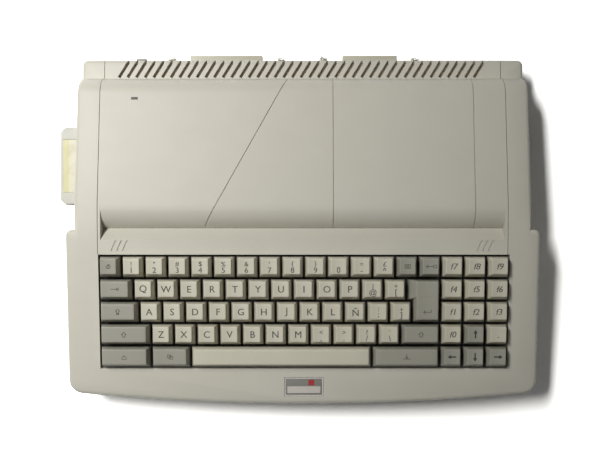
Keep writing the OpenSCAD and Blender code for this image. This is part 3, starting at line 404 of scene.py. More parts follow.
@dataclass(frozen=True)
class LampLens:
    """Tinted lens with darker and lighter depths."""

    name: str
    colour: Colour
    coat: float = 0.5
    roughness: float = 0.22
    depth_scale: float = 380.0

    def material(self) -> bpy.types.Material:
        """Builds the material.

        Returns:
            The material.
        """
        shader = Shader(self.name)
        depth = shader.remap(shader.noise(self.depth_scale, 2), 0.35, 0.7)
        shader.set(Base_Color=shader.mix(depth, self.colour, scaled(self.colour, 0.5)))
        shader.set(Roughness=self.roughness, Coat_Weight=self.coat, Coat_Roughness=0.1)
        return shader.material


@dataclass(frozen=True)
class CircuitLaminate:
    """Lacquered laminate with copper tracks that show through."""

    name: str
    lacquer: Colour
    track: Colour
    track_scale: float = 210.0
    cloud_scale: float = 35.0

    def material(self) -> bpy.types.Material:
        """Builds the material.

        Returns:
            The material.
        """
        shader = Shader(self.name)
        tracks = shader.add("ShaderNodeTexBrick", {
            "Vector": shader.place, "Scale": self.track_scale, "Mortar Size": 0.06,
            "Color1": (1.0, 1.0, 1.0), "Color2": (0.8, 0.8, 0.8), "Mortar": (0.0, 0.0, 0.0)})
        cloud = shader.remap(shader.noise(self.cloud_scale, 3), 0.35, 0.65, 0.0, 0.5)
        base = shader.mix(tracks.outputs["Fac"], self.lacquer, self.track)
        shader.set(Base_Color=shader.mix(cloud, base, scaled(self.lacquer, 0.6)))
        shader.set(Roughness=0.32, Coat_Weight=0.3, Coat_Roughness=0.2)
        shader.bump(tracks.outputs["Fac"], 0.00004, 0.5)
        return shader.material


@dataclass(frozen=True)
class LegendInk:
    """Ink that was printed into the plastic and is a little worn."""

    name: str
    colour: Colour
    plastic: Colour
    wear: float = 0.3
    wear_scale: float = 1100.0
    relief_scale: float = 1900.0

    def material(self) -> bpy.types.Material:
        """Builds the material.

        Returns:
            The material.
        """
        shader = Shader(self.name)
        worn = shader.remap(shader.noise(self.wear_scale, 4, 0.65), 0.5, 0.78, 0.0, self.wear)
        shader.set(Base_Color=shader.mix(worn, self.colour, self.plastic), Roughness=0.6)
        shader.bump(shader.noise(self.relief_scale, 2), 0.00002, 0.3)
        return shader.material


# ---- Meshes ----


def new_object(name: str, mesh: bpy.types.Mesh) -> bpy.types.Object:
    """Puts a mesh into the scene as an object at the origin.

    Args:
        name: Name of the object.
        mesh: Its mesh.

    Returns:
        The object.
    """
    obj = bpy.data.objects.new(name, mesh)
    bpy.context.scene.collection.objects.link(obj)
    return obj


def object_of(build: bmesh.types.BMesh, name: str,
              smooth: float = SMOOTH_ANGLE) -> bpy.types.Object:
    """Turns a bmesh into an object, smooth except along its sharp edges.

    Args:
        build: Source, which is freed.
        name: Name of the object and its mesh.
        smooth: Angle past which an edge is sharp.

    Returns:
        The object.
    """
    for face in build.faces:
        face.smooth = True
    for edge in build.edges:
        edge.smooth = len(edge.link_faces) == 2 and edge.calc_face_angle(0.0) < smooth
    mesh = bpy.data.meshes.new(name)
    build.to_mesh(mesh)
    build.free()
    return new_object(name, mesh)


def node_copy(*nodes: str) -> bmesh.types.BMesh:
    """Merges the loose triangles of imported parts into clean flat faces.

    Args:
        *nodes: Names of the parts.

    Returns:
        A bmesh of the parts.
    """
    build = bmesh.new()
    for node in nodes:
        source = frame["nodes"][node].data
        verts = [build.verts.new(v.co) for v in source.vertices]
        build.verts.ensure_lookup_table()
        for polygon in source.polygons:
            try:
                build.faces.new([verts[i] for i in polygon.vertices])
            except ValueError:
                LOG.debug("%s: a double face was left out", node)
    bmesh.ops.remove_doubles(build, verts=build.verts, dist=2e-6)
    bmesh.ops.dissolve_limit(build, angle_limit=math.radians(0.3), use_dissolve_boundaries=False,
                             verts=build.verts, edges=build.edges, delimit={"NORMAL"})
    return build


def soften(build: bmesh.types.BMesh, width: float, segments: int = 2,
           angle: float = math.radians(40)) -> bmesh.types.BMesh:
    """Rounds the sharp outer edges.

    Args:
        build: Mesh to change.
        width: Width of the rounding.
        segments: Number of steps.
        angle: Edges sharper than this are rounded.

    Returns:
        The same bmesh.
    """
    edges = [e for e in build.edges if len(e.link_faces) == 2
             and e.is_convex and e.calc_face_angle(0.0) > angle]
    bmesh.ops.bevel(build, geom=edges, offset=width, segments=segments, profile=0.6,
                    affect="EDGES", clamp_overlap=True, offset_type="OFFSET")
    return build


def add_box(build: bmesh.types.BMesh, low: Sequence[float], high: Sequence[float],
            place: Matrix | None = None) -> None:
    """Adds a box.

    Args:
        build: Mesh to add it to.
        low: Lowest corner.
        high: Highest corner.
        place: Matrix that moves the box.
    """
    middle = [(a + b) / 2 for a, b in zip(low, high)]
    size = [b - a for a, b in zip(low, high)]
    matrix = (place or Matrix()) @ Matrix.Translation(middle) @ Matrix.Diagonal((*size, 1))
    bmesh.ops.create_cube(build, size=1, matrix=matrix)


def add_lathe(build: bmesh.types.BMesh, rings: Sequence[Point], place: Matrix,
              sides: int = 24) -> None:
    """Adds a turned solid, closed at both ends, round its own Z axis.

    Args:
        build: Mesh to add it to.
        rings: Radius and height of each ring, from the lower end round to the upper end.
        place: Matrix from the axis to the frame.
        sides: Number of sides.
    """
    loops = [[build.verts.new(place @ Vector((r * math.cos(a), r * math.sin(a), z)))
              for a in (2 * math.pi * i / sides for i in range(sides))] for r, z in rings]
    for low, high in zip(loops, loops[1:]):
        for i in range(sides):
            j = (i + 1) % sides
            build.faces.new((low[i], low[j], high[j], high[i]))
    build.faces.new(loops[0][::-1])
    build.faces.new(loops[-1])


# ---- Geometry Nodes ----


class NodeTree(Nodes):
    """A Geometry Nodes tree with named inputs that ends in Realize Instances and Set Material."""

    def __init__(self, name: str, inputs: dict[str, str]) -> None:
        """Starts a tree.

        Args:
            name: Name of the tree.
            inputs: Kind of socket for each input's name.
        """
        super().__init__(bpy.data.node_groups.new(name, "GeometryNodeTree"))
        face = self.tree.interface
        face.new_socket("Geometry", in_out="OUTPUT", socket_type="NodeSocketGeometry")
        face.new_socket("Geometry", in_out="INPUT", socket_type="NodeSocketGeometry")
        self.ids = {key: face.new_socket(key, in_out="INPUT", socket_type=kind).identifier
                    for key, kind in {**inputs, "Material": "NodeSocketMaterial"}.items()}
        self.source = self.tree.nodes.new("NodeGroupInput")

    def given(self, name: str) -> Socket:
        """Gives the socket of a named input."""
        return self.source.outputs[name]

    def end(self, geometry: Socket) -> None:
        """Closes the tree with what it has made.

        Args:
            geometry: Instances, which become real geometry in the tree's material.
        """
        real = self.add("GeometryNodeRealizeInstances", {"Geometry": geometry})
        painted = self.add("GeometryNodeSetMaterial", {
            "Geometry": real.outputs[0], "Material": self.given("Material")})
        out = self.tree.nodes.new("NodeGroupOutput")
        self.tree.links.new(painted.outputs[0], out.inputs[0])

    def run(self, name: str, base: bpy.types.Mesh, values: dict[str, object],
            material: bpy.types.Material) -> bpy.types.Object:
        """Runs the tree on a mesh and keeps the result as a plain mesh.

        Args:
            name: Name of the new object.
            base: Mesh that the tree starts from.
            values: Value of each named input.
            material: Finish of the result.

        Returns:
            The new object.
        """
        host = new_object(name + "_host", base)
        modifier = host.modifiers.new("made", "NODES")
        modifier.node_group = self.tree
        for key, value in {**values, "Material": material}.items():
            modifier[self.ids[key]] = value
        graph = bpy.context.evaluated_depsgraph_get()
        mesh = bpy.data.meshes.new_from_object(host.evaluated_get(graph), depsgraph=graph)
        host.modifiers.remove(modifier)
        bpy.data.objects.remove(host)
        mesh.name = name
        return new_object(name, mesh)


def line_tree() -> NodeTree:
    """Builds the tree that sets copies of one part along a straight line.

    Returns:
        The tree, with the inputs Part, Count, Start, Step and Turn.
    """
    tree = NodeTree("parts_along_a_line", {
        "Part": "NodeSocketObject", "Count": "NodeSocketInt", "Start": "NodeSocketVector",
        "Step": "NodeSocketVector", "Turn": "NodeSocketVector"})
    line = tree.add("GeometryNodeMeshLine", {
        "Count": tree.given("Count"), "Start Location": tree.given("Start"),
        "Offset": tree.given("Step")}, mode="OFFSET")
    part = tree.add("GeometryNodeObjectInfo", {"Object": tree.given("Part")})
    copies = tree.add("GeometryNodeInstanceOnPoints", {
        "Points": line.outputs[0], "Instance": part.outputs["Geometry"],
        "Rotation": tree.given("Turn")})
    tree.end(copies.outputs[0])
    return tree


def place_tree() -> NodeTree:
    """Builds the tree that sets a copy of one part on every vertex of a mesh.

    Returns:
        The tree, with the input Part.
    """
    tree = NodeTree("parts_on_places", {"Part": "NodeSocketObject"})
    part = tree.add("GeometryNodeObjectInfo", {"Object": tree.given("Part")})
    copies = tree.add("GeometryNodeInstanceOnPoints", {
        "Points": tree.given("Geometry"), "Instance": part.outputs["Geometry"]})
    tree.end(copies.outputs[0])
    return tree


def wire_tree() -> NodeTree:
    """Builds the tree that turns a bent line into round wire with rounded bends.

    Returns:
        The tree, with the inputs Wire radius and Bend radius.
    """
    tree = NodeTree("bent_wire", {
        "Wire radius": "NodeSocketFloat", "Bend radius": "NodeSocketFloat"})
    line = tree.add("GeometryNodeMeshToCurve", {"Mesh": tree.given("Geometry")})
    bent = tree.add("GeometryNodeFilletCurve", {
        "Curve": line.outputs[0], "Radius": tree.given("Bend radius"), "Count": 5,
        "Limit Radius": True}, mode="POLY")
    section = tree.add("GeometryNodeCurvePrimitiveCircle", {
        "Resolution": 12, "Radius": tree.given("Wire radius")})
    wire = tree.add("GeometryNodeCurveToMesh", {
        "Curve": bent.outputs[0], "Profile Curve": section.outputs[0], "Fill Caps": True})
    smooth = tree.add("GeometryNodeSetShadeSmooth", {"Geometry": wire.outputs[0]})
    tree.end(smooth.outputs[0])
    return tree


def closed_line(points: Sequence[Vector]) -> bpy.types.Mesh:
    """Makes a mesh of vertices and the edges between neighbours.

    Args:
        points: The vertices. The last one joins the first.

    Returns:
        The mesh.
    """
    mesh = bpy.data.meshes.new("line")
    count = len(points)
    mesh.from_pydata(points, [(i, (i + 1) % count) for i in range(count)], [])
    return mesh


@dataclass
class Workshop:
    """Finishes and node trees that every sub-assembly shares."""

    finishes: dict[str, bpy.types.Material] = field(default_factory=dict)
    lines: NodeTree = field(default_factory=line_tree)
    places: NodeTree = field(default_factory=place_tree)
    wires: NodeTree = field(default_factory=wire_tree)

    def keep(self, obj: bpy.types.Object, finish: str, body: str = "computer",
             stands_for: Sequence[str] = (), slot: str | None = None) -> None:
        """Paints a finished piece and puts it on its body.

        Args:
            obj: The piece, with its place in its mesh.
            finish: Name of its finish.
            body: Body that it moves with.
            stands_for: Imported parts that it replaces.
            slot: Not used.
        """
        obj.data.materials.clear()
        obj.data.materials.append(self.finishes[finish])
        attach(obj, body)
        if stands_for:
            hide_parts(*stands_for)
        LOG.info("%s: %d faces on %s", obj.name, len(obj.data.polygons), body)

    def dress(self, node: str, finish: str) -> None:
        """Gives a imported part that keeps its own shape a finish.

        Args:
            node: Name of the part.
            finish: Name of its finish.
        """
        data = frame["nodes"][node].data
        data.materials.clear()
        data.materials.append(self.finishes[finish])
        LOG.info("%s: own shape, %s", node, finish)

    def soft_copy(self, node: str, name: str, finish: str, width: float, slot: str,
                  body: str = "computer", segments: int = 2) -> None:
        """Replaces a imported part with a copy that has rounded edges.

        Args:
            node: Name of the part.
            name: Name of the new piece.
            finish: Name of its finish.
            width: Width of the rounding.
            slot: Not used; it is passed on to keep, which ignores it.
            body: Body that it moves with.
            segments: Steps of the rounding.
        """
        build = soften(node_copy(node), width, segments)
        self.keep(object_of(build, name), finish, body, (node,), slot)


# ---- Keyboard ----


def arrow(reach: float, head: float) -> list[list[Point]]:
    """Gives the strokes of an arrow that points along +X and is centred.

    Args:
        reach: Length of the arrow.
        head: Length of its head.

    Returns:
        The strokes.
    """
    tip = (reach / 2, 0.0)
    return [[(-reach / 2, 0.0), tip],
            [(reach / 2 - head, head * 0.7), tip, (reach / 2 - head, -head * 0.7)]]


def turned(strokes: list[list[Point]], quarter: int, dx: float = 0.0,
           dy: float = 0.0) -> list[list[Point]]:
    """Turns strokes by quarters and moves them."""
    c, s = [(1, 0), (0, 1), (-1, 0), (0, -1)][quarter % 4]
    return [[(x * c - y * s + dx, x * s + y * c + dy) for x, y in line] for line in strokes]


def rectangle(width: float, depth: float, x: float = 0.0, y: float = 0.0) -> list[Point]:
    """Gives the closed stroke of a rectangle."""
    a, b = width / 2, depth / 2
    return [(x - a, y - b), (x + a, y - b), (x + a, y + b), (x - a, y + b), (x - a, y - b)]


def fat_arrow(height: float, width: float) -> list[Point]:
    """Gives the closed outline stroke of a wide arrow that points to the rear."""
    h, w, n = height / 2, width / 2, width / 4
    return [(-n, -h), (n, -h), (n, 0), (w, 0), (0, h), (-w, 0), (-n, 0), (-n, -h)]


def open_ring(radius: float) -> list[Point]:
    """Gives the stroke of a circle that is open at its upper left."""
    angles = [math.radians(degrees) for degrees in range(165, 466, 15)]
    return [(radius * math.cos(a), radius * math.sin(a)) for a in angles]


CURSOR_ARROW = arrow(5.5, 1.2)


class Sign(Enum):
    """Strokes of the plain signs on the keys that carry no character."""

    ESCAPE = [open_ring(1.15), *turned(arrow(1.7, 0.8), 1)]
    CLEAR = [rectangle(2.8, 1.9), [(-0.6, -0.5), (0.6, 0.5)], [(-0.6, 0.5), (0.6, -0.5)]]
    DELETE = turned(arrow(3.6, 1.0), 2, -0.6) + [rectangle(1.6, 1.4, 2.3)]
    TAB = [*arrow(3.6, 0.8), [(2.1, -0.8), (2.1, 0.8)]]
    RETURN = [[(2.2, 1.3), (2.2, 0.0), (-2.0, 0.0)], [(-1.1, 0.8), (-2.0, 0.0), (-1.1, -0.8)]]
    CAPS = [[(x, y + 0.5) for x, y in fat_arrow(2.2, 2.4)], rectangle(1.2, 0.5, 0.0, -1.2)]
    SHIFT = [fat_arrow(2.7, 2.6)]
    CONTROL = [[(-1.3, -0.6), (0.0, 0.8), (1.3, -0.6)], [(-1.3, -1.2), (1.3, -1.2)]]
    COPY = [rectangle(1.9, 1.5, -0.5, 0.35), rectangle(1.9, 1.5, 0.5, -0.35)]
    ENTER = [[(-1.9, -1.0), (1.9, -1.0)], *turned(arrow(2.2, 0.8), 3, 0.0, 0.4)]
    UP = turned(CURSOR_ARROW, 1)
    LEFT = turned(CURSOR_ARROW, 2)
    DOWN = turned(CURSOR_ARROW, 3)
    RIGHT = turned(CURSOR_ARROW, 0)


CURSOR_SIGNS = (Sign.UP, Sign.DOWN, Sign.LEFT, Sign.RIGHT)
LOW_MARKS = "._-,'\"`^*"
TALL_KEY = "return_key"

# First unit from the left, row from the rear, width, and the print or sign.
# Two characters stand above each other, except on the function keys.
Key = tuple[float, int, float, str | Sign]


def letter_keys(first: float, row: int, letters: Sequence[str]) -> list[Key]:
    """Gives a run of one-unit keys."""
    return [(first + i, row, 1.0, letter) for i, letter in enumerate(letters)]


KEY_SETS: dict[str, list[Key]] = {
    "escape_key": [(0, 0, 1, Sign.ESCAPE)],
    "digit_keys_left": letter_keys(1, 0, ["!1", "\"2", "#3", "$4"]),
    "digit_keys_middle": letter_keys(5, 0, ["%5", "&6", "'7", "(8"]),
    "digit_keys_right": letter_keys(9, 0, [")9", "_0", "=-", "£^"]),
    "clear_key": [(13, 0, 1, Sign.CLEAR)],
    "delete_key": [(14, 0, 1, Sign.DELETE)],
    "tab_key": [(0, 1, 1.5, Sign.TAB)],
    "top_letters_left": letter_keys(1.5, 1, "QWER"),
    "top_letters_middle": letter_keys(5.5, 1, "TYUI"),
    "top_letters_right": letter_keys(9.5, 1, ["O", "P", "|@", "*["]),
    "return_key": [(13.75, 1, 1.25, Sign.RETURN)],
    "caps_lock_key": [(0, 2, 1.75, Sign.CAPS)],
    "home_letters_left": letter_keys(1.75, 2, "ASDF"),
    "home_letters_middle": letter_keys(5.75, 2, "GHJK"),
    "home_letters_right": letter_keys(9.75, 2, ["L", "Ñ", ":;", "+]"]),
    "shift_key_left": [(0, 3, 2.25, Sign.SHIFT)],
    "low_letters_left": letter_keys(2.25, 3, "ZXCV"),
    "low_letters_middle": letter_keys(6.25, 3, ["B", "N", "M", "<,"]),
    "low_letters_right": letter_keys(10.25, 3, [">.", "?/", "`\\"]),
    "shift_key_right": [(13.25, 3, 1.75, Sign.SHIFT)],
    "control_key": [(0, 4, 2.25, Sign.CONTROL)],
    "copy_key": [(2.25, 4, 1.75, Sign.COPY)],
    "space_bar": [(4, 4, 8, "")],
    "enter_key": [(12, 4, 3, Sign.ENTER)],
    "function_keys_left": [(15, r, 1, f) for r, f in enumerate(("f7", "f4", "f1", "f0"))],
    "function_keys_middle": [(16, r, 1, f) for r, f in enumerate(("f8", "f5", "f2"))],
    "function_keys_right": [(17, r, 1, f) for r, f in enumerate(("f9", "f6", "f3", "."))],
    "cursor_up_key": [(16, 3, 1, Sign.UP)],
    "cursor_left_key": [(15, 4, 1, Sign.LEFT)],
    "cursor_down_key": [(16, 4, 1, Sign.DOWN)],
    "cursor_right_key": [(17, 4, 1, Sign.RIGHT)],
}


@dataclass
class CapForm:
    """Form of one keycap on its own slope plane, with the middle of its foot at the origin."""

    half_x: float
    half_y: float
    dished: bool
    low: float
    high: float
    side_taper: float
    front_taper: float
    rear_taper: float
    wall: float
    dish_depth: float
    plungers: Sequence[float] = (0.0,)
    plunger_radius: float = 2.8
    plunger_end: float = -21.0
    left_step: float = 0.0
    corner: float = 0.7
    corner_steps: int = 3
    side_steps: int = 5
    edge: float = 0.55
    dish_steps: Sequence[float] = (0.8, 0.55, 0.3, 0.12)

    def top_z(self, x: float) -> float:
        """Gives the height of the finger surface.

        Args:
            x: Distance from the middle.

        Returns:
            Its height, in millimetres.
        """
        if not self.dished:
            return self.high
        half = self.half_x - self.side_taper
        radius = (half * half + self.dish_depth ** 2) / (2 * self.dish_depth)
        reach = min(abs(x), half)
        return self.high + radius - self.dish_depth - math.sqrt(radius * radius - reach * reach)

    def outline(self, z: float, inset: float) -> list[Point]:
        """Gives the cap's rounded outline at a height.

        Args:
            z: Height.
            inset: Distance in from the side walls.

        Returns:
            The outline's points, anticlockwise from the front right corner.
        """
        share = (z - self.low) / (self.high - self.low)
        left = -self.half_x - self.left_step + (self.side_taper + self.left_step) * share + inset
        right = self.half_x - self.side_taper * share - inset
        front = -self.half_y + self.front_taper * share + inset
        rear = self.half_y - self.rear_taper * share - inset
        radius = max(0.15, self.corner * (1 + 0.5 * share) - 0.3 * inset)
        points: list[Point] = []
        corners = [(right, front, -1, 1, 270), (right, rear, -1, -1, 0),
                   (left, rear, 1, -1, 90), (left, front, 1, 1, 180)]
        for n, (x, y, sx, sy, start) in enumerate(corners):
            cx, cy = x + sx * radius, y + sy * radius
            for i in range(self.corner_steps + 1):
                a = math.radians(start + 90 * i / self.corner_steps)
                points.append((cx + radius * math.cos(a), cy + radius * math.sin(a)))
            nx, ny, tx, ty, after = corners[(n + 1) % 4]
            far = (nx + tx * radius + radius * math.cos(math.radians(after)),
                   ny + ty * radius + radius * math.sin(math.radians(after)))
            near = points[-1]
            for i in range(1, self.side_steps):
                k = i / self.side_steps
                points.append((near[0] + (far[0] - near[0]) * k, near[1] + (far[1] - near[1]) * k))
        return points

    def build(self, into: bmesh.types.BMesh, offset: tuple[float, float] = (0.0, 0.0),
              sunk: float = 0.0, with_plungers: bool = True) -> None:
        """Adds the cap, with its hollow and its plungers, to a bmesh.

        Args:
            into: Mesh to add it to.
            offset: Middle of the cap.
            sunk: How far its top lies below the finger surface.
            with_plungers: Whether the plungers are made.
        """
        middle = -self.left_step / 2
        tall = self.high - self.low
        loops = [[(x, y, self.low + (tall - self.edge) * share)
                  for x, y in self.outline(self.low + tall * share, 0.0)]
                 for share in (0.0, 0.45)]
        for drop, inset in ((self.edge, 0.0), (0.24, 0.07), (0.07, 0.24), (0.0, self.edge)):
            loops.append([(x, y, self.top_z(x) - drop - sunk)
                          for x, y in self.outline(self.high - drop, inset)])
        rim = loops[-1]
        for share in self.dish_steps:
            loops.append([(middle + (x - middle) * share, y * share,
                           self.top_z(middle + (x - middle) * share) - sunk) for x, y, _ in rim])
        roof = self.high - self.wall - self.dish_depth
        inner = [[(x, y, z) for x, y in self.outline(z, self.wall)] for z in (roof, self.low)]
        rings = [[into.verts.new(((x + offset[0]) * MM, (y + offset[1]) * MM, z * MM))
                  for x, y, z in loop] for loop in (*inner, *loops)]
        for low, high in zip(rings, rings[1:]):
            for i in range(len(low)):
                j = (i + 1) % len(low)
                into.faces.new((low[i], low[j], high[j], high[i]))
        into.faces.new(rings[-1])
        into.faces.new(rings[0][::-1])
        thick, end = self.plunger_radius, self.plunger_end
        rod = [(thick - 0.4, end), (thick, end + 0.5), (thick, roof + 0.2)]
        for x in self.plungers if with_plungers else ():
            add_lathe(into, [(r * MM, z * MM) for r, z in rod],
                      Matrix.Translation(((x + offset[0]) * MM, offset[1] * MM, 0)), 16)


@dataclass
class Keyboard:
    """Keycaps, their printed signs, the key plate and the rubber sheet."""

    shop: Workshop
    pitch: float = 19.1
    gap: float = 1.1
    shift: float = 1.0
    well_rear: float = -12.4
    well_gap: float = 1.5
    cap_height: float = 10.8
    cap_proud: float = 10.0
    cap_wall: float = 1.3
    side_taper: float = 2.5
    front_taper: float = 4.3
    rear_taper: float = 0.7
    dish_depth: float = 0.6
    letter_height: float = 5.9
    upper_height: float = 4.1
    lower_height: float = 4.8
    upper_place: float = 1.9
    lower_place: float = -3.1
    function_height: float = 5.3
    function_slant: float = 0.2
    line_width: float = 0.5
    cursor_width: float = 1.2
    sign_scale: float = 1.55
    ink_rise: float = 0.05
    boldness: float = 0.16

    def unit_x(self, unit: float) -> float:
        """Gives the X of a key unit."""
        return self.shift - 9 * self.pitch + unit * self.pitch

    def row_y(self, row: float) -> float:
        """Gives the middle of a row, along the slope."""
        return self.well_rear - self.well_gap + self.gap / 2 - (row + 0.5) * self.pitch

    def form(self, width: float, rows: int = 1, left_step: float = 0.0) -> CapForm:
        """Gives the form of a cap.

        Args:
            width: Width in units.
            rows: Number of rows that it spans.
            left_step: How much further its foot reaches to the left.

        Returns:
            The form.
        """
        spread = (0.0,) if width < 3 else tuple(
            s * (width / 2 - 0.75) * self.pitch for s in (-1, 0, 1))
        return CapForm(
            half_x=(width * self.pitch - self.gap) / 2, half_y=(rows * self.pitch - self.gap) / 2,
            dished=width < 2, low=self.cap_proud - self.cap_height, high=self.cap_proud,
            side_taper=self.side_taper, front_taper=self.front_taper, rear_taper=self.rear_taper,
            wall=self.cap_wall, dish_depth=self.dish_depth, plungers=spread, left_step=left_step,
            side_steps=5 if width < 3 else 9)

    def plain_cap(self, width: float) -> bpy.types.Object:
        """Builds one cap, round the origin, that the line tree copies.

        Args:
            width: Width in units.

        Returns:
            The cap.
        """
        build = bmesh.new()
        self.form(width).build(build)
        return object_of(build, "cap_pattern", CAP_SMOOTH_ANGLE)

    def return_cap(self) -> bmesh.types.BMesh:
        """Builds the tall cap, whose rear half has a wider foot, in its place.

        Returns:
            The cap.
        """
        build = bmesh.new()
        x = (self.unit_x(13.75) + self.unit_x(15)) / 2
        self.form(1.25, 2).build(build, (x, (self.row_y(1) + self.row_y(2)) / 2))
        self.form(1.25, 1, self.pitch / 4).build(build, (x, self.row_y(1)), 0.06, False)
        return build

    def caps(self, name: str, finish: str, keys: Sequence[Key]) -> bpy.types.Object:
        """Makes the caps of one set.

        Args:
            name: Name of the set.
            finish: Name of the caps' finish.
            keys: The set's keys.

        Returns:
            The piece.
        """
        if name == TALL_KEY:
            build = self.return_cap()
            build.transform(SLOPE)
            return object_of(build, name + "_cap", CAP_SMOOTH_ANGLE)
        pattern = self.plain_cap(keys[0][2])
        places = [SLOPE @ Vector((self.unit_x(u + w / 2) * MM, self.row_y(r) * MM, 0))
                  for u, r, w, _ in keys]
        step = places[1] - places[0] if len(places) > 1 else Vector((0, 0, 0))
        made = self.shop.lines.run(name + "_caps", bpy.data.meshes.new("seed"), {
            "Part": pattern, "Count": len(places), "Start": places[0], "Step": step,
            "Turn": Vector((KEY_TILT, 0, 0))}, self.shop.finishes[finish])
        bpy.data.objects.remove(pattern)
        return made

    def glyph(self, text: str, height: float, slant: float = 0.0) -> bmesh.types.BMesh:
        """Turns a character into flat raised ink.

        Args:
            text: The character or characters.
            height: Height of a capital.
            slant: Slope to the right.

        Returns:
            The ink round the origin, in metres.
        """
        curve = bpy.data.curves.new("glyph", "FONT")
        curve.body = text
        curve.align_x = "CENTER"
        curve.resolution_u = 3
        curve.extrude = self.ink_rise
        curve.size = height / 0.73
        curve.shear = slant
        host = new_object("glyph", curve)
        graph = bpy.context.evaluated_depsgraph_get()
        flat = bpy.data.meshes.new_from_object(host.evaluated_get(graph), depsgraph=graph)
        bpy.data.objects.remove(host)
        build = bmesh.new()
        for shift, rise in ((-self.boldness / 2, 0.0), (self.boldness / 2, 0.008)):
            first = len(build.verts)
            build.from_mesh(flat)
            build.verts.ensure_lookup_table()
            bmesh.ops.translate(build, verts=build.verts[first:], vec=(shift, 0, rise))
        bpy.data.meshes.remove(flat)
        heights = [vert.co.y for vert in build.verts]
        middle = height / 2 if text in LOW_MARKS else (min(heights) + max(heights)) / 2
        bmesh.ops.translate(build, verts=build.verts, vec=(0, -middle, 0))
        return build

    def strokes(self, lines: list[list[Point]], width: float) -> bmesh.types.BMesh:
        """Turns strokes into flat raised ink.

        Args:
            lines: The strokes.
            width: Width of a stroke.

        Returns:
            The ink round the origin.
        """
        build = bmesh.new()
        for line in lines:
            for (x0, y0), (x1, y1) in zip(line, line[1:]):
                length = math.hypot(x1 - x0, y1 - y0)
                place = (Matrix.Translation(((x0 + x1) / 2, (y0 + y1) / 2, 0))
                         @ Matrix.Rotation(math.atan2(y1 - y0, x1 - x0), 4, "Z"))
                add_box(build, (-length / 2 - width / 2, -width / 2, -self.ink_rise),
                        (length / 2 + width / 2, width / 2, self.ink_rise), place)
        return build

    def printed(self, key: Key) -> list[tuple[bmesh.types.BMesh, float]]:
        """Gives the ink of one key.

        Args:
            key: The key.

        Returns:
            Each ink with its distance to the rear of the finger surface's middle.
        """
        sign = key[3]
        if isinstance(sign, Sign):
            bold = sign in CURSOR_SIGNS
            drop = -0.5 * self.pitch - 0.2 if sign is Sign.RETURN else 0.0
            size = 1.0 if bold else self.sign_scale
            lines = [[(x * size, y * size) for x, y in line] for line in sign.value]
            return [(self.strokes(lines, self.cursor_width if bold else self.line_width), drop)]
        if sign.startswith("f"):
            return [(self.glyph(sign, self.function_height, self.function_slant), 0.0)]
        if len(sign) == 2:
            return [(self.glyph(sign[0], self.upper_height), self.upper_place),
                    (self.glyph(sign[1], self.lower_height), self.lower_place)]
        return [(self.glyph(sign, self.letter_height), 0.0)] if sign else []

    def ink(self, name: str, keys: Sequence[Key]) -> bpy.types.Object | None:
        """Makes the print on one set of keys, which follows their finger surfaces.

        Args:
            name: Name of the set.
            keys: The set's keys.

        Returns:
            The piece, or None where the keys are bare.
        """
        build = bmesh.new()
        for key in keys:
            unit, row, width, _ = key
            tall = name == TALL_KEY
            form = self.form(width, 2 if tall else 1)
            x = self.unit_x(unit + width / 2)
            y = self.row_y(row + 0.5 if tall else row)
            middle = (self.front_taper - self.rear_taper) / 2
            for part, dy in self.printed(key):
                for vert in part.verts:
                    px, py, pz = vert.co
                    vert.co = Vector((x + px, y + middle + dy + py, form.top_z(px) + pz)) * MM
                flat = bpy.data.meshes.new("part")
                part.to_mesh(flat)
                part.free()
                build.from_mesh(flat)
                bpy.data.meshes.remove(flat)
        if not build.verts:
            build.free()
            return None
        build.transform(SLOPE)
        return object_of(build, name + "_print")

    def make(self) -> None:
        """Makes every set of keys and dresses what carries them."""
        for name, keys in KEY_SETS.items():
            body = name + "_body"
            finish = "key_grey" if isinstance(keys[0][3], Sign) else "key_cream"
            self.shop.keep(self.caps(name, finish, keys), finish, body, (name,), finish)
            ink = self.ink(name, keys)
            if ink:
                self.shop.keep(ink, "cursor_ink" if keys[0][3] in CURSOR_SIGNS else "ink", body)
        self.shop.dress("key_plate", "black_plastic")
        self.shop.dress("key_membrane", "membrane")


# ---- Housing ----


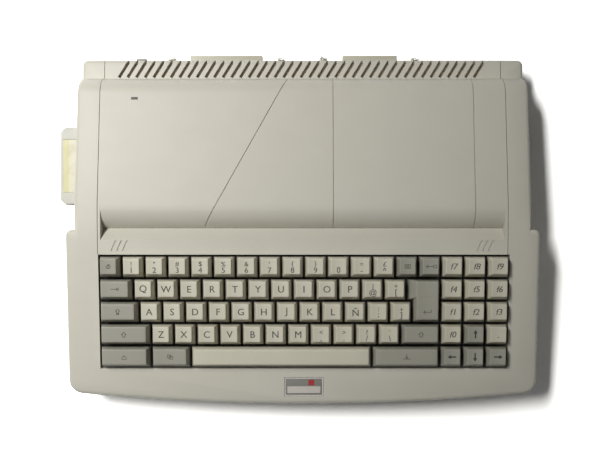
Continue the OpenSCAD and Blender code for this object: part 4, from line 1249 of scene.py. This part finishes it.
@dataclass
class Housing:
    """Lower case, upper case and centre cover, with lamp, dust baffle, feet and screws."""

    shop: Workshop
    foot_radius_mm: float = 7.0
    foot_height_mm: float = 2.0
    foot_seat_mm: float = 0.8
    feet_mm: Sequence[Point] = (
        (-165, -112.4), (165, -112.4), (-161, 122.4), (161, 122.4))
    screws_mm: Sequence[Point] = (
        (-99.75, -131.4), (99.75, -131.4), (-187, -30.4), (187, -30.4),
        (-183, 139.4), (183, 139.4))
    screw_seat_mm: float = 6.0
    screw_length_mm: float = 18.0
    head_radius_mm: float = 3.0
    shank_radius_mm: float = 1.5
    thread_pitch_mm: float = 0.9
    thread_depth_mm: float = 0.25
    baffle_half_mm: float = 170.0
    baffle_front_mm: float = 130.5
    baffle_rear_mm: float = 146.0
    baffle_z_mm: float = 26.3
    baffle_thickness_mm: float = 0.8

    def shells(self) -> None:
        """Makes the three moulded shells."""
        for node, name in (("lower_case", "case_tub"), ("upper_case", "case_top"),
                           ("centre_cover", "centre_panel")):
            self.shop.keep(object_of(node_copy(node), name), "case", stands_for=(node,),
                           slot="case_plastic")

    def places(self, spots: Sequence[Point], z: float) -> bpy.types.Mesh:
        """Gives a mesh with one vertex on each place.

        Args:
            spots: X and Y of each place, in millimetres.
            z: Their height, in millimetres.

        Returns:
            The mesh.
        """
        mesh = bpy.data.meshes.new("places")
        mesh.from_pydata([(x * MM, y * MM, z * MM) for x, y in spots], [], [])
        return mesh

    def repeated(self, name: str, pattern: bmesh.types.BMesh, spots: Sequence[Point],
                 z: float, finish: str, node: str, slot: str) -> None:
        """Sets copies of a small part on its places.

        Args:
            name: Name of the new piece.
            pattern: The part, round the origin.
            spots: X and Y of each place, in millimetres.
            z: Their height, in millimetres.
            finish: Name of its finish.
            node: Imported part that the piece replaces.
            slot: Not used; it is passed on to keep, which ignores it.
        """
        part = object_of(pattern, name + "_pattern")
        made = self.shop.places.run(name, self.places(spots, z), {"Part": part},
                                    self.shop.finishes[finish])
        bpy.data.objects.remove(part)
        self.shop.keep(made, finish, stands_for=(node,), slot=slot)

    def feet(self) -> None:
        """Makes the rubber feet, with a rounded edge and a hollow under each."""
        r, h = self.foot_radius_mm, self.foot_height_mm
        rings = [(r - 2.4, 0.35), (r - 1.9, 0.0), (r - 0.7, 0.0), (r - 0.2, 0.2), (r, 0.7),
                 (r, h + self.foot_seat_mm)]
        build = bmesh.new()
        add_lathe(build, [(a * MM, z * MM) for a, z in rings], Matrix(), 40)
        self.repeated("foot_pads", build, self.feet_mm, -h, "rubber", "rubber_feet", "foot_rubber")

    def screws(self) -> None:
        """Makes the case screws, with a cross recess and a threaded shank."""
        head, shank, length = self.head_radius_mm, self.shank_radius_mm, self.screw_length_mm
        rings = [(head - 0.5, -2.2), (head, -1.7), (head, -0.3), (head - 0.3, 0.0), (shank, 0.0)]
        root = shank - self.thread_depth_mm
        z = 0.6
        while z < length - 1.2:
            rings += [(root, z), (shank, z + 0.3), (root, z + 0.6)]
            z += self.thread_pitch_mm
        rings.append((0.4, length))
        build = bmesh.new()
        add_lathe(build, [(a * MM, b * MM) for a, b in rings], Matrix(), 20)
        for turn in (0.0, math.pi / 2):
            add_box(build, (-1.8 * MM, -0.3 * MM, -2.24 * MM), (1.8 * MM, 0.3 * MM, -2.17 * MM),
                    Matrix.Rotation(turn, 4, "Z"))
        self.repeated("case_screw_set", build, self.screws_mm, self.screw_seat_mm, "steel",
                      "case_screws", "plated_steel")

    def baffle(self) -> None:
        """Makes the dust baffle that closes the view through the cooling slots."""
        build = bmesh.new()
        half, low = self.baffle_half_mm, self.baffle_z_mm
        add_box(build, [v * MM for v in (-half, self.baffle_front_mm, low)],
                [v * MM for v in (half, self.baffle_rear_mm, low + self.baffle_thickness_mm)])
        soften(build, 0.2 * MM)
        self.shop.keep(object_of(build, "dust_baffle"), "baffle")

    def make(self) -> None:
        """Makes the whole sub-assembly."""
        self.shells()
        self.baffle()
        self.feet()
        self.screws()
        self.shop.soft_copy("power_lamp", "power_lamp_lens", "lamp", 0.12 * MM, "lamp")


@dataclass
class BadgePlate:
    """Plate under the keyboard with a rim, a pale band and a plain crimson square."""

    shop: Workshop
    middle_x: float = 1.0
    width: float = 33.0
    front: float = -133.65
    depth: float = 16.0
    base: float = -1.2
    thickness: float = 0.9
    rim: float = 0.9

    def block(self, build: bmesh.types.BMesh, x0: float, x1: float, y0: float, y1: float,
              z0: float, z1: float) -> None:
        """Adds a block whose place is counted from the plate's front left corner.

        Args:
            build: Mesh to add it to.
            x0: Left side.
            x1: Right side.
            y0: Front side.
            y1: Rear side.
            z0: Lower side, above the plate.
            z1: Upper side, above the plate.
        """
        left, top = self.middle_x - self.width / 2, self.base + self.thickness
        add_box(build, ((left + x0) * MM, (self.front + y0) * MM, (top + z0) * MM),
                ((left + x1) * MM, (self.front + y1) * MM, (top + z1) * MM), SLOPE)

    def piece(self, name: str, finish: str, blocks: Sequence[tuple[float, ...]]) -> None:
        """Makes one layer of the plate.

        Args:
            name: Name of the layer.
            finish: Name of its finish.
            blocks: Sides of each block.
        """
        build = bmesh.new()
        for sides in blocks:
            self.block(build, *sides)
        soften(build, 0.08 * MM, 1)
        self.shop.keep(object_of(build, name), finish, slot="badge")

    def make(self) -> None:
        """Makes the plate and its layers."""
        w, d, r = self.width, self.depth, self.rim
        self.shop.soft_copy("badge_plate", "badge_base", "badge_grey", 0.15 * MM, "badge")
        self.piece("badge_rim", "badge_rim", [
            (0.15, w - 0.15, 0.15, r, -0.1, 0.25), (0.15, w - 0.15, d - r, d - 0.15, -0.1, 0.25),
            (0.15, r, r, d - r, -0.1, 0.25), (w - r, w - 0.15, r, d - r, -0.1, 0.25)])
        self.piece("badge_band", "badge_band", [(2.4, w - 2.4, 2.4, 8.4, -0.1, 0.06)])
        self.piece("badge_mark", "badge_mark", [(w - 12.6, w - 7.6, 9.2, 14.0, -0.1, 0.10)])


# ---- Left side ----


@dataclass
class Cartridge:
    """Plug-in cartridge with its label and board, and the socket that takes it."""

    shop: Workshop
    body: str = "cartridge"
    label_overlap: float = 1.9 * MM
    label_edge: float = 1.0 * MM

    def make(self) -> None:
        """Makes the cartridge and dresses what is inside."""
        self.shop.soft_copy("cartridge_shell", "cartridge_case", "cartridge", 0.45 * MM,
                            "cartridge_plastic", self.body, 3)
        build = node_copy("cartridge_label")
        left = min(vert.co.x for vert in build.verts)
        for vert in build.verts:
            if vert.co.x < left + self.label_edge:
                vert.co.x -= self.label_overlap
        soften(build, 0.08 * MM, 1)
        self.shop.keep(object_of(build, "cartridge_paper"), "label", self.body,
                       ("cartridge_label",), "label_paper")
        self.shop.dress("cartridge_board", "laminate")
        self.shop.dress("cartridge_socket", "black_plastic")


# ---- Rear sockets ----


@dataclass
class RibbonSocket:
    """One ribbon socket with its contacts and two wire bails."""

    name: str
    x: float
    width: float
    contacts: int
    open_angles: tuple[float, float]


@dataclass
class RearPanel:
    """Ribbon sockets, round sockets, power switch and joystick sockets."""

    shop: Workshop
    sockets: tuple[RibbonSocket, ...] = (
        RibbonSocket("expansion", -67.5, 64.0, 25, (92.0, 92.0)),
        RibbonSocket("printer", 59.5, 48.0, 18, (50.0, 92.0)))
    shell_z: float = 11.6
    shell_proud: float = 6.5
    pin_reach: float = 15.5
    ear_thickness: float = 1.6
    lug_pin: float = 1.7
    wire: float = 1.6
    bail_half: float = 4.4
    bail_reach: float = 8.6
    hook_turn: float = 19.0
    hook_reach: float = 5.6
    bend_radius: float = 1.3
    contact_length: float = 6.0
    contact_half: float = 0.45
    contact_leaf: float = 0.1
    contact_spring: float = 0.3
    contact_rise: float = 1.75
    contact_inset: float = 1.0
    end_room: float = 12.0

    def contact_rows(self, socket: RibbonSocket) -> None:
        """Sets sprung contacts along both sides of a socket's tongue.

        Args:
            socket: The socket.
        """
        span = socket.width - self.end_room
        step = span / (socket.contacts - 1)
        y = REAR_Y_MM + self.shell_proud - self.contact_inset
        half, leaf, spring = (v * MM for v in (
            self.contact_half, self.contact_leaf, self.contact_spring))
        length = self.contact_length * MM
        for side, label in ((1, "upper"), (-1, "lower")):
            pattern = bmesh.new()
            add_box(pattern, (-half, -length, -leaf), (half, leaf, leaf))
            add_box(pattern, (-spring, -0.7 * length, 0.8 * side * leaf),
                    (spring, -0.2 * length, side * spring))
            part = object_of(pattern, "contact")
            name = f"{socket.name}_contacts_{label}"
            made = self.shop.lines.run(name, bpy.data.meshes.new("seed"), {
                "Part": part, "Count": socket.contacts,
                "Start": Vector((socket.x - span / 2, y, self.shell_z + side * self.contact_rise)) * MM,
                "Step": Vector((step * MM, 0, 0)), "Turn": Vector((0, 0, 0))},
                self.shop.finishes["gold"])
            bpy.data.objects.remove(part)
            self.shop.keep(made, "gold")

    def bail(self, socket: RibbonSocket, side: int, angle: float) -> None:
        """Bends one wire bail, whose pin turns in the socket's lug.

        Args:
            socket: The socket.
            side: -1 for the left one, 1 for the right one.
            angle: Angle from straight back.
        """
        pivot = Vector((socket.x + side * (socket.width / 2 + self.pin_reach),
                        REAR_Y_MM + self.ear_thickness + self.lug_pin, self.shell_z))
        out = math.radians(side * angle)
        back = math.radians(side * (angle - 180 - self.hook_turn))
        tip = Vector((math.sin(out), math.cos(out), 0)) * self.bail_reach
        hook = tip + Vector((math.sin(back), math.cos(back), 0)) * self.hook_reach
        up = Vector((0, 0, self.bail_half))
        points = [Vector((0, 0, 0)), up, tip + up, hook + up, hook - up, tip - up, -up]
        name = f"{socket.name}_bail_{'left' if side < 0 else 'right'}"
        line = closed_line([(pivot + p) * MM for p in points])
        made = self.shop.wires.run(name + "_loop", line, {
            "Wire radius": self.wire / 2 * MM,
            "Bend radius": self.bend_radius * MM}, self.shop.finishes["steel"])
        self.shop.keep(made, "steel", name + "_wire", (name,), "plated_steel")

    def make(self) -> None:
        """Makes the panel's pieces."""
        for socket in self.sockets:
            node = socket.name + "_socket"
            self.shop.soft_copy(node, node + "_shell", "socket_plastic", 0.3 * MM, "socket_shell")
            self.contact_rows(socket)
            self.bail(socket, -1, socket.open_angles[0])
            self.bail(socket, 1, socket.open_angles[1])
        for row in (
                ("monitor_socket", "monitor_jack", "black_plastic", 0.25 * MM, "dark_plastic"),
                ("rear_jacks", "jack_pair", "black_plastic", 0.2 * MM, "dark_plastic"),
                ("power_switch", "power_button", "black_plastic", 0.6 * MM, "dark_plastic", "switch", 3),
                ("joystick_sockets", "joystick_shells", "steel", 0.15 * MM, "plated_steel")):
            self.shop.soft_copy(*row)
        self.shop.dress("main_board", "laminate")


# ---- Disc drive ----


@dataclass
class DiscDrive:
    """Drive in its steel frame, with the bezel, the flap, the eject button and the lamp."""

    shop: Workshop

    def make(self) -> None:
        """Makes the drive's visible pieces."""
        for row in (
                ("drive_bezel", "bezel_front", "bezel", 0.5 * MM, "bezel_plastic", "computer", 3),
                ("drive_flap", "flap_door", "bezel_dark", 0.3 * MM, "dark_plastic", "flap"),
                ("eject_button", "eject_key", "bezel_dark", 0.5 * MM, "dark_plastic", "eject", 3),
                ("drive_lamp", "drive_lamp_lens", "drive_lamp", 0.2 * MM, "lamp")):
            self.shop.soft_copy(*row)
        self.shop.dress("drive_chassis", "drive_steel")


# ---- Studio ----


@dataclass(frozen=True)
class Studio:
    """Camera, pale floor and soft light."""

    camera_place: Place = (-0.0019, -0.0014, 0.738)
    lens: float = 48.7
    sensor: float = 36.0
    floor_z: float = -0.002
    floor_half: float = 6.0
    floor_shade: float = 0.55
    floor_seen: float = 3.2
    # Floor colour under the painted contact shadow, and how far that painted shadow reaches.
    painted_shadow_level: float = 0.0
    painted_shadow_reach: float = 0.07
    glow_from: float = 0.42
    glow_to: float = 0.7
    key_place: Place = (-0.73, 0.56, 1.5)
    key_aim: Place = (-0.40, 0.08, 0.0)
    key_size: float = 0.3
    key_length: float = 0.85
    key_roll: float = -0.6
    key_power: float = 5.6
    key_spread: float = math.radians(72)
    key_colour: Colour = (1.0, 0.997, 0.965)
    world_strength: float = 0.035

    def camera(self) -> None:
        """Hangs the camera over the keyboard, looking straight down."""
        data = bpy.data.cameras.new("camera")
        data.lens, data.sensor_width = self.lens, self.sensor
        data.clip_start, data.clip_end = 0.01, 50.0
        data.dof.use_dof = False
        camera = bpy.data.objects.new("camera", data)
        camera.location = self.camera_place
        bpy.context.scene.collection.objects.link(camera)
        bpy.context.scene.camera = camera

    def floor(self) -> None:
        """Lays a pale floor that keeps the shadow, has a painted contact shadow from occlusion near the
        object, and is plain white farther out.
        """
        mesh = bpy.data.meshes.new("floor")
        h, z = self.floor_half, self.floor_z
        mesh.from_pydata([(-h, -h, z), (h, -h, z), (h, h, z), (-h, h, z)], [], [(0, 1, 2, 3)])
        floor = new_object("floor", mesh)
        shader = Shader("floor")
        shader.tree.nodes.remove(shader.surface)
        seen = shader.background_rays()
        # Painted shadow: ambient occlusion darkens the floor's seen colour near the object.
        near = shader.add("ShaderNodeAmbientOcclusion", {"Distance": self.painted_shadow_reach}, samples=8)
        floor_with_painted_shadow = shader.mix(near.outputs["AO"], (self.painted_shadow_level,) * 3, (self.floor_seen,) * 3)
        shade = shader.mix(seen, (self.floor_shade,) * 3, floor_with_painted_shadow)
        cover = shader.add("ShaderNodeBsdfDiffuse", {"Color": shade})
        spot = shader.add("ShaderNodeNewGeometry")
        reach = shader.add("ShaderNodeVectorMath", {0: spot.outputs["Position"]}, operation="LENGTH")
        far = shader.remap(reach.outputs["Value"], self.glow_from, self.glow_to)
        glow = shader.math("MULTIPLY", seen, far)
        white = shader.add("ShaderNodeEmission", {"Color": (1.0, 1.0, 1.0)})
        paper = shader.add("ShaderNodeMixShader", {
            0: glow, 1: cover.outputs[0], 2: white.outputs[0]})
        clear = shader.add("ShaderNodeBsdfTransparent")
        sheet = shader.add("ShaderNodeMixShader", {
            0: spot.outputs["Backfacing"], 1: paper.outputs[0], 2: clear.outputs[0]})
        out = next(n for n in shader.tree.nodes if n.type == "OUTPUT_MATERIAL")
        shader.tree.links.new(sheet.outputs[0], out.inputs["Surface"])
        mesh.materials.append(shader.material)

    def lights(self) -> None:
        """Hangs one soft lamp at the rear left and sets an even sky."""
        data = bpy.data.lights.new("key_light", "AREA")
        data.shape, data.size, data.size_y = "ELLIPSE", self.key_size, self.key_length
        data.energy, data.color = self.key_power, self.key_colour
        data.spread = self.key_spread
        lamp = bpy.data.objects.new("key_light", data)
        lamp.location = self.key_place
        aim = Vector(self.key_aim) - Vector(self.key_place)
        lamp.rotation_euler = aim.to_track_quat("-Z", "Y").to_euler()
        lamp.rotation_euler.rotate_axis("Z", self.key_roll)
        bpy.context.scene.collection.objects.link(lamp)
        world = bpy.data.worlds.new("sky")
        world.use_nodes = True
        nodes = Nodes(world.node_tree)
        sky = next(n for n in nodes.tree.nodes if n.type == "BACKGROUND")
        pick = nodes.add("ShaderNodeMapRange", {
            "Value": nodes.background_rays(), "To Min": self.world_strength, "To Max": 1.0})
        nodes.join(sky.inputs["Strength"], pick.outputs["Result"])
        nodes.join(sky.inputs["Color"], (1.0, 1.0, 1.0))
        bpy.context.scene.world = world

    def make(self) -> None:
        """Sets up the whole studio."""
        bpy.context.scene.view_settings.view_transform = "Standard"
        self.camera()
        self.floor()
        self.lights()


def finishes() -> dict[str, bpy.types.Material]:
    """Builds every finish.

    Returns:
        The materials by name.
    """
    case, case_aged = srgb(200, 197, 186), srgb(193, 188, 174)
    cream, grey = srgb(207, 203, 187), srgb(158, 156, 145)
    made = [
        # The case gets painted shade in its gaps and grooves.
        MouldedPlastic("case", case, case_aged, 0.5, ageing=0.16, patchy=0.015, gap_shade=0.4),
        MouldedPlastic("key_cream", cream, srgb(199, 194, 175), 0.46, grain_scale=2600.0,
                       grain_depth=0.00002),
        MouldedPlastic("key_grey", grey, srgb(151, 149, 137), 0.46, grain_scale=2600.0, grain_depth=0.00002),
        MouldedPlastic("black_plastic", srgb(38, 38, 37), srgb(46, 45, 42), 0.42),
        MouldedPlastic("baffle", srgb(206, 192, 170), srgb(196, 182, 160), 0.7),
        MouldedPlastic("bezel", srgb(176, 172, 158), srgb(168, 162, 145), 0.5),
        MouldedPlastic("bezel_dark", srgb(96, 95, 90), srgb(104, 101, 92), 0.46),
        MouldedPlastic("cartridge", srgb(194, 194, 187), srgb(187, 185, 173), 0.5),
        MouldedPlastic("socket_plastic", srgb(188, 184, 168), srgb(180, 174, 152), 0.45),
        MouldedPlastic("badge_grey", srgb(128, 128, 122), srgb(118, 117, 110), 0.35, grain_depth=0.00001),
        MouldedPlastic("badge_band", srgb(206, 200, 194), srgb(192, 184, 176), 0.35, grain_depth=0.00001),
        MouldedPlastic("badge_mark", srgb(168, 44, 52), srgb(150, 40, 46), 0.35, grain_depth=0.00001),
        PlatedSteel("badge_rim", srgb(190, 188, 182), 0.3),
        PlatedSteel("steel", srgb(196, 196, 192), 0.3),
        PlatedSteel("drive_steel", srgb(176, 178, 178), 0.36, (0.1, 1.0, 1.0)),
        PlatedSteel("gold", srgb(214, 178, 104), 0.25, bloom=0.2),
        Rubber("rubber", srgb(34, 34, 34), srgb(92, 88, 80)),
        Rubber("membrane", srgb(122, 122, 126), srgb(150, 148, 142)),
        LabelPaper("label", srgb(195, 188, 140), srgb(200, 196, 175), -0.2045),
        LampLens("lamp", srgb(84, 80, 76), coat=0.0, roughness=0.55),
        LampLens("drive_lamp", srgb(120, 24, 20)),
        CircuitLaminate("laminate", srgb(32, 92, 52), srgb(70, 128, 78)),
        LegendInk("ink", srgb(62, 58, 50), cream),
        LegendInk("cursor_ink", srgb(26, 25, 22), grey, 0.1)]
    return {finish.name: finish.material() for finish in made}


def main() -> None:
    """Builds the sub-assemblies in order and reports them."""
    logging.basicConfig(level=logging.INFO, format="%(name)s: %(message)s")
    shop = Workshop(finishes())
    for part in (Housing(shop), BadgePlate(shop), Keyboard(shop), Cartridge(shop),
                 RearPanel(shop), DiscDrive(shop)):
        part.make()
        LOG.info("finished the %s", type(part).__name__)
    Studio().make()


if __name__ == "__main__":
    main()
